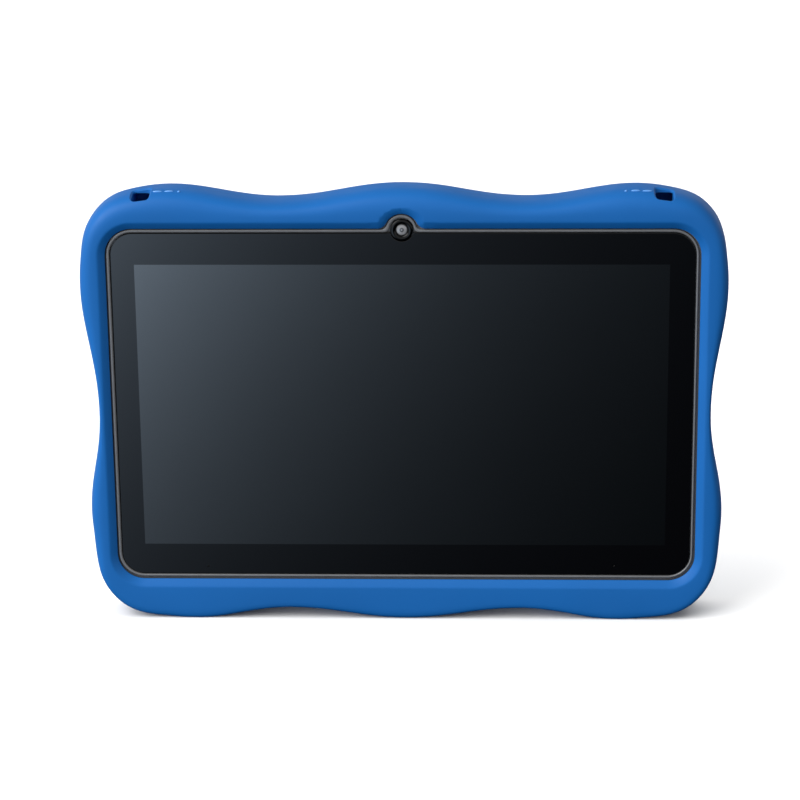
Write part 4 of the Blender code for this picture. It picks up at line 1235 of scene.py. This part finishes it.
def soft_light(name, place, target, size, power):
    """A rectangular soft box at a place, turned to a target."""
    lamp = bpy.data.lights.new(name, "AREA")
    lamp.shape = "RECTANGLE"
    lamp.size, lamp.size_y = size
    lamp.energy = power
    holder = placed(name, lamp)
    holder.location = place
    holder.rotation_euler = (Vector(target) - Vector(place)).to_track_quat("-Z", "Y").to_euler()
    return holder


def maths(tree, operation, *values):
    """The result of a math node; each value is a number or another node's output."""
    made = add_node(tree, "ShaderNodeMath", operation=operation)
    for socket, value in zip(made.inputs, values):
        if isinstance(value, bpy.types.NodeSocket):
            tree.links.new(value, socket)
        else:
            socket.default_value = value
    return made.outputs[0]


def smooth_rise(tree, value, low, high, start=0.0, stop=1.0):
    """Runs smoothly from start to stop as the value goes from low to high."""
    return add_node(
        tree, "ShaderNodeMapRange", {"Value": value}, interpolation_type="SMOOTHSTEP",
        From_Min=low, From_Max=high, To_Min=start, To_Max=stop,
    ).outputs["Result"]


def studio_world():
    """Pale all-round light; below the horizon it falls off to the right and downwards.

    The fall-off is exponential: FALL_UP and FALL_RIGHT are its rates along world Z and X, and it
    is 1 at FALL_ORIGIN, an (x, z) direction. The glass reflects it as a soft gradient.
    """
    world = bpy.data.worlds.new("studio")
    world.use_nodes = True
    tree = world.node_tree
    direction = add_node(tree, "ShaderNodeTexCoord").outputs["Generated"]
    parts = add_node(tree, "ShaderNodeSeparateXYZ", {0: direction})
    across, up = parts.outputs["X"], parts.outputs["Z"]
    base = FALL_UP * -FALL_ORIGIN[1] + FALL_RIGHT * -FALL_ORIGIN[0]
    rise = maths(tree, "MULTIPLY_ADD", maths(tree, "MINIMUM", up, FALL_TOP), FALL_UP, base)
    falling = maths(tree, "EXPONENT", maths(tree, "MULTIPLY_ADD", across, FALL_RIGHT, rise))
    capped = maths(tree, "MINIMUM", falling, FALL_CAP)
    level = maths(tree, "MULTIPLY", capped, smooth_rise(tree, up, -0.75, -0.4, 0.08, 1.0))
    level = maths(tree, "MULTIPLY", level, smooth_rise(tree, across, -0.7, -0.25, 0.25, 1.0))
    reflected = add_node(tree, "ShaderNodeVectorMath", {"Scale": level}, operation="SCALE")
    reflected.inputs[0].default_value = FALL_TINT
    horizon = smooth_rise(tree, up, 0.15, 0.4, 0.80, 0.38)
    above = smooth_rise(tree, up, FALL_TOP, HORIZON)
    mix = add_node(tree, "ShaderNodeMix", {"Factor": above}, data_type="RGBA")
    tree.links.new(reflected.outputs[0], mix.inputs[6])
    tree.links.new(horizon, mix.inputs[7])
    background = tree.nodes["Background"]
    tree.links.new(mix.outputs[2], background.inputs["Color"])
    background.inputs["Strength"].default_value = 1.0
    bpy.context.scene.world = world


class KT_OT_stage(bpy.types.Operator):
    """Sets the pale floor, soft studio light and the camera"""

    bl_idname = "kids_tablet.stage"
    bl_label = "Stage"

    def execute(self, context):
        shape = bmesh.new()
        bmesh.ops.create_grid(shape, x_segments=2, y_segments=2, size=6.0)
        floor = placed("floor", as_mesh("floor", shape))
        white = (0.93, 0.93, 0.93, 1.0)
        floor.data.materials.append(detailed("matt_white_floor", white, 0.9, bumps=(8.0, 0.02, 0.1)))
        floor.visible_glossy = False
        floor.visible_diffuse = False
        soft_light("key_light", (-1.4, -0.95, 1.3), (0.0, 0.0, 0.065), (1.9, 1.9), 58.0)
        overhead = soft_light("floor_light", (0.0, 0.5, 1.8), (0.0, 0.5, 0.0), (3.2, 2.6), 40.0)
        lit = bpy.data.collections.new("lit_by_overhead")
        lit.objects.link(floor)
        overhead.light_linking.receiver_collection = lit
        studio_world()
        add_camera(context.scene)
        context.scene.view_settings.view_transform = "Standard"
        return {"FINISHED"}


def add_camera(scene):
    lens = bpy.data.cameras.new("camera")
    lens.lens = 128.97
    lens.sensor_width = 36.0
    lens.clip_start = 0.05
    lens.clip_end = 50.0
    holder = placed("camera", lens)
    holder.location = CAMERA_PLACE
    holder.rotation_euler = [math.radians(angle) for angle in CAMERA_TURN]
    scene.camera = holder


# ---------------- panel and registration

class KT_PT_panel(bpy.types.Panel):
    """Lists the tablet's settings and the steps that build its pieces"""

    bl_idname = "KT_PT_panel"
    bl_label = "Kids Tablet"
    bl_space_type = "VIEW_3D"
    bl_region_type = "UI"
    bl_category = "Kids Tablet"

    def draw(self, context):
        layout = self.layout
        for group in (context.scene.tablet_colours, context.scene.tablet_sizes):
            for name in group.__annotations__:
                layout.prop(group, name)
        for step in STEPS:
            layout.operator(step.bl_idname)


STEPS = (
    KT_OT_case, KT_OT_strap_marks, KT_OT_rim, KT_OT_glass, KT_OT_front_camera, KT_OT_stand, KT_OT_buttons,
    KT_OT_ports, KT_OT_rear_camera, KT_OT_inner_parts, KT_OT_stage,
)
CLASSES = (TabletColours, TabletSizes, *STEPS, KT_PT_panel)


def register():
    for made in CLASSES:
        bpy.utils.register_class(made)
    bpy.types.Scene.tablet_colours = bpy.props.PointerProperty(type=TabletColours)
    bpy.types.Scene.tablet_sizes = bpy.props.PointerProperty(type=TabletSizes)


def unregister():
    del bpy.types.Scene.tablet_sizes
    del bpy.types.Scene.tablet_colours
    for made in reversed(CLASSES):
        bpy.utils.unregister_class(made)


def main():
    register()
    for step in STEPS:
        group, name = step.bl_idname.split(".")
        getattr(getattr(bpy.ops, group), name)()


if __name__ == "__main__":
    main()
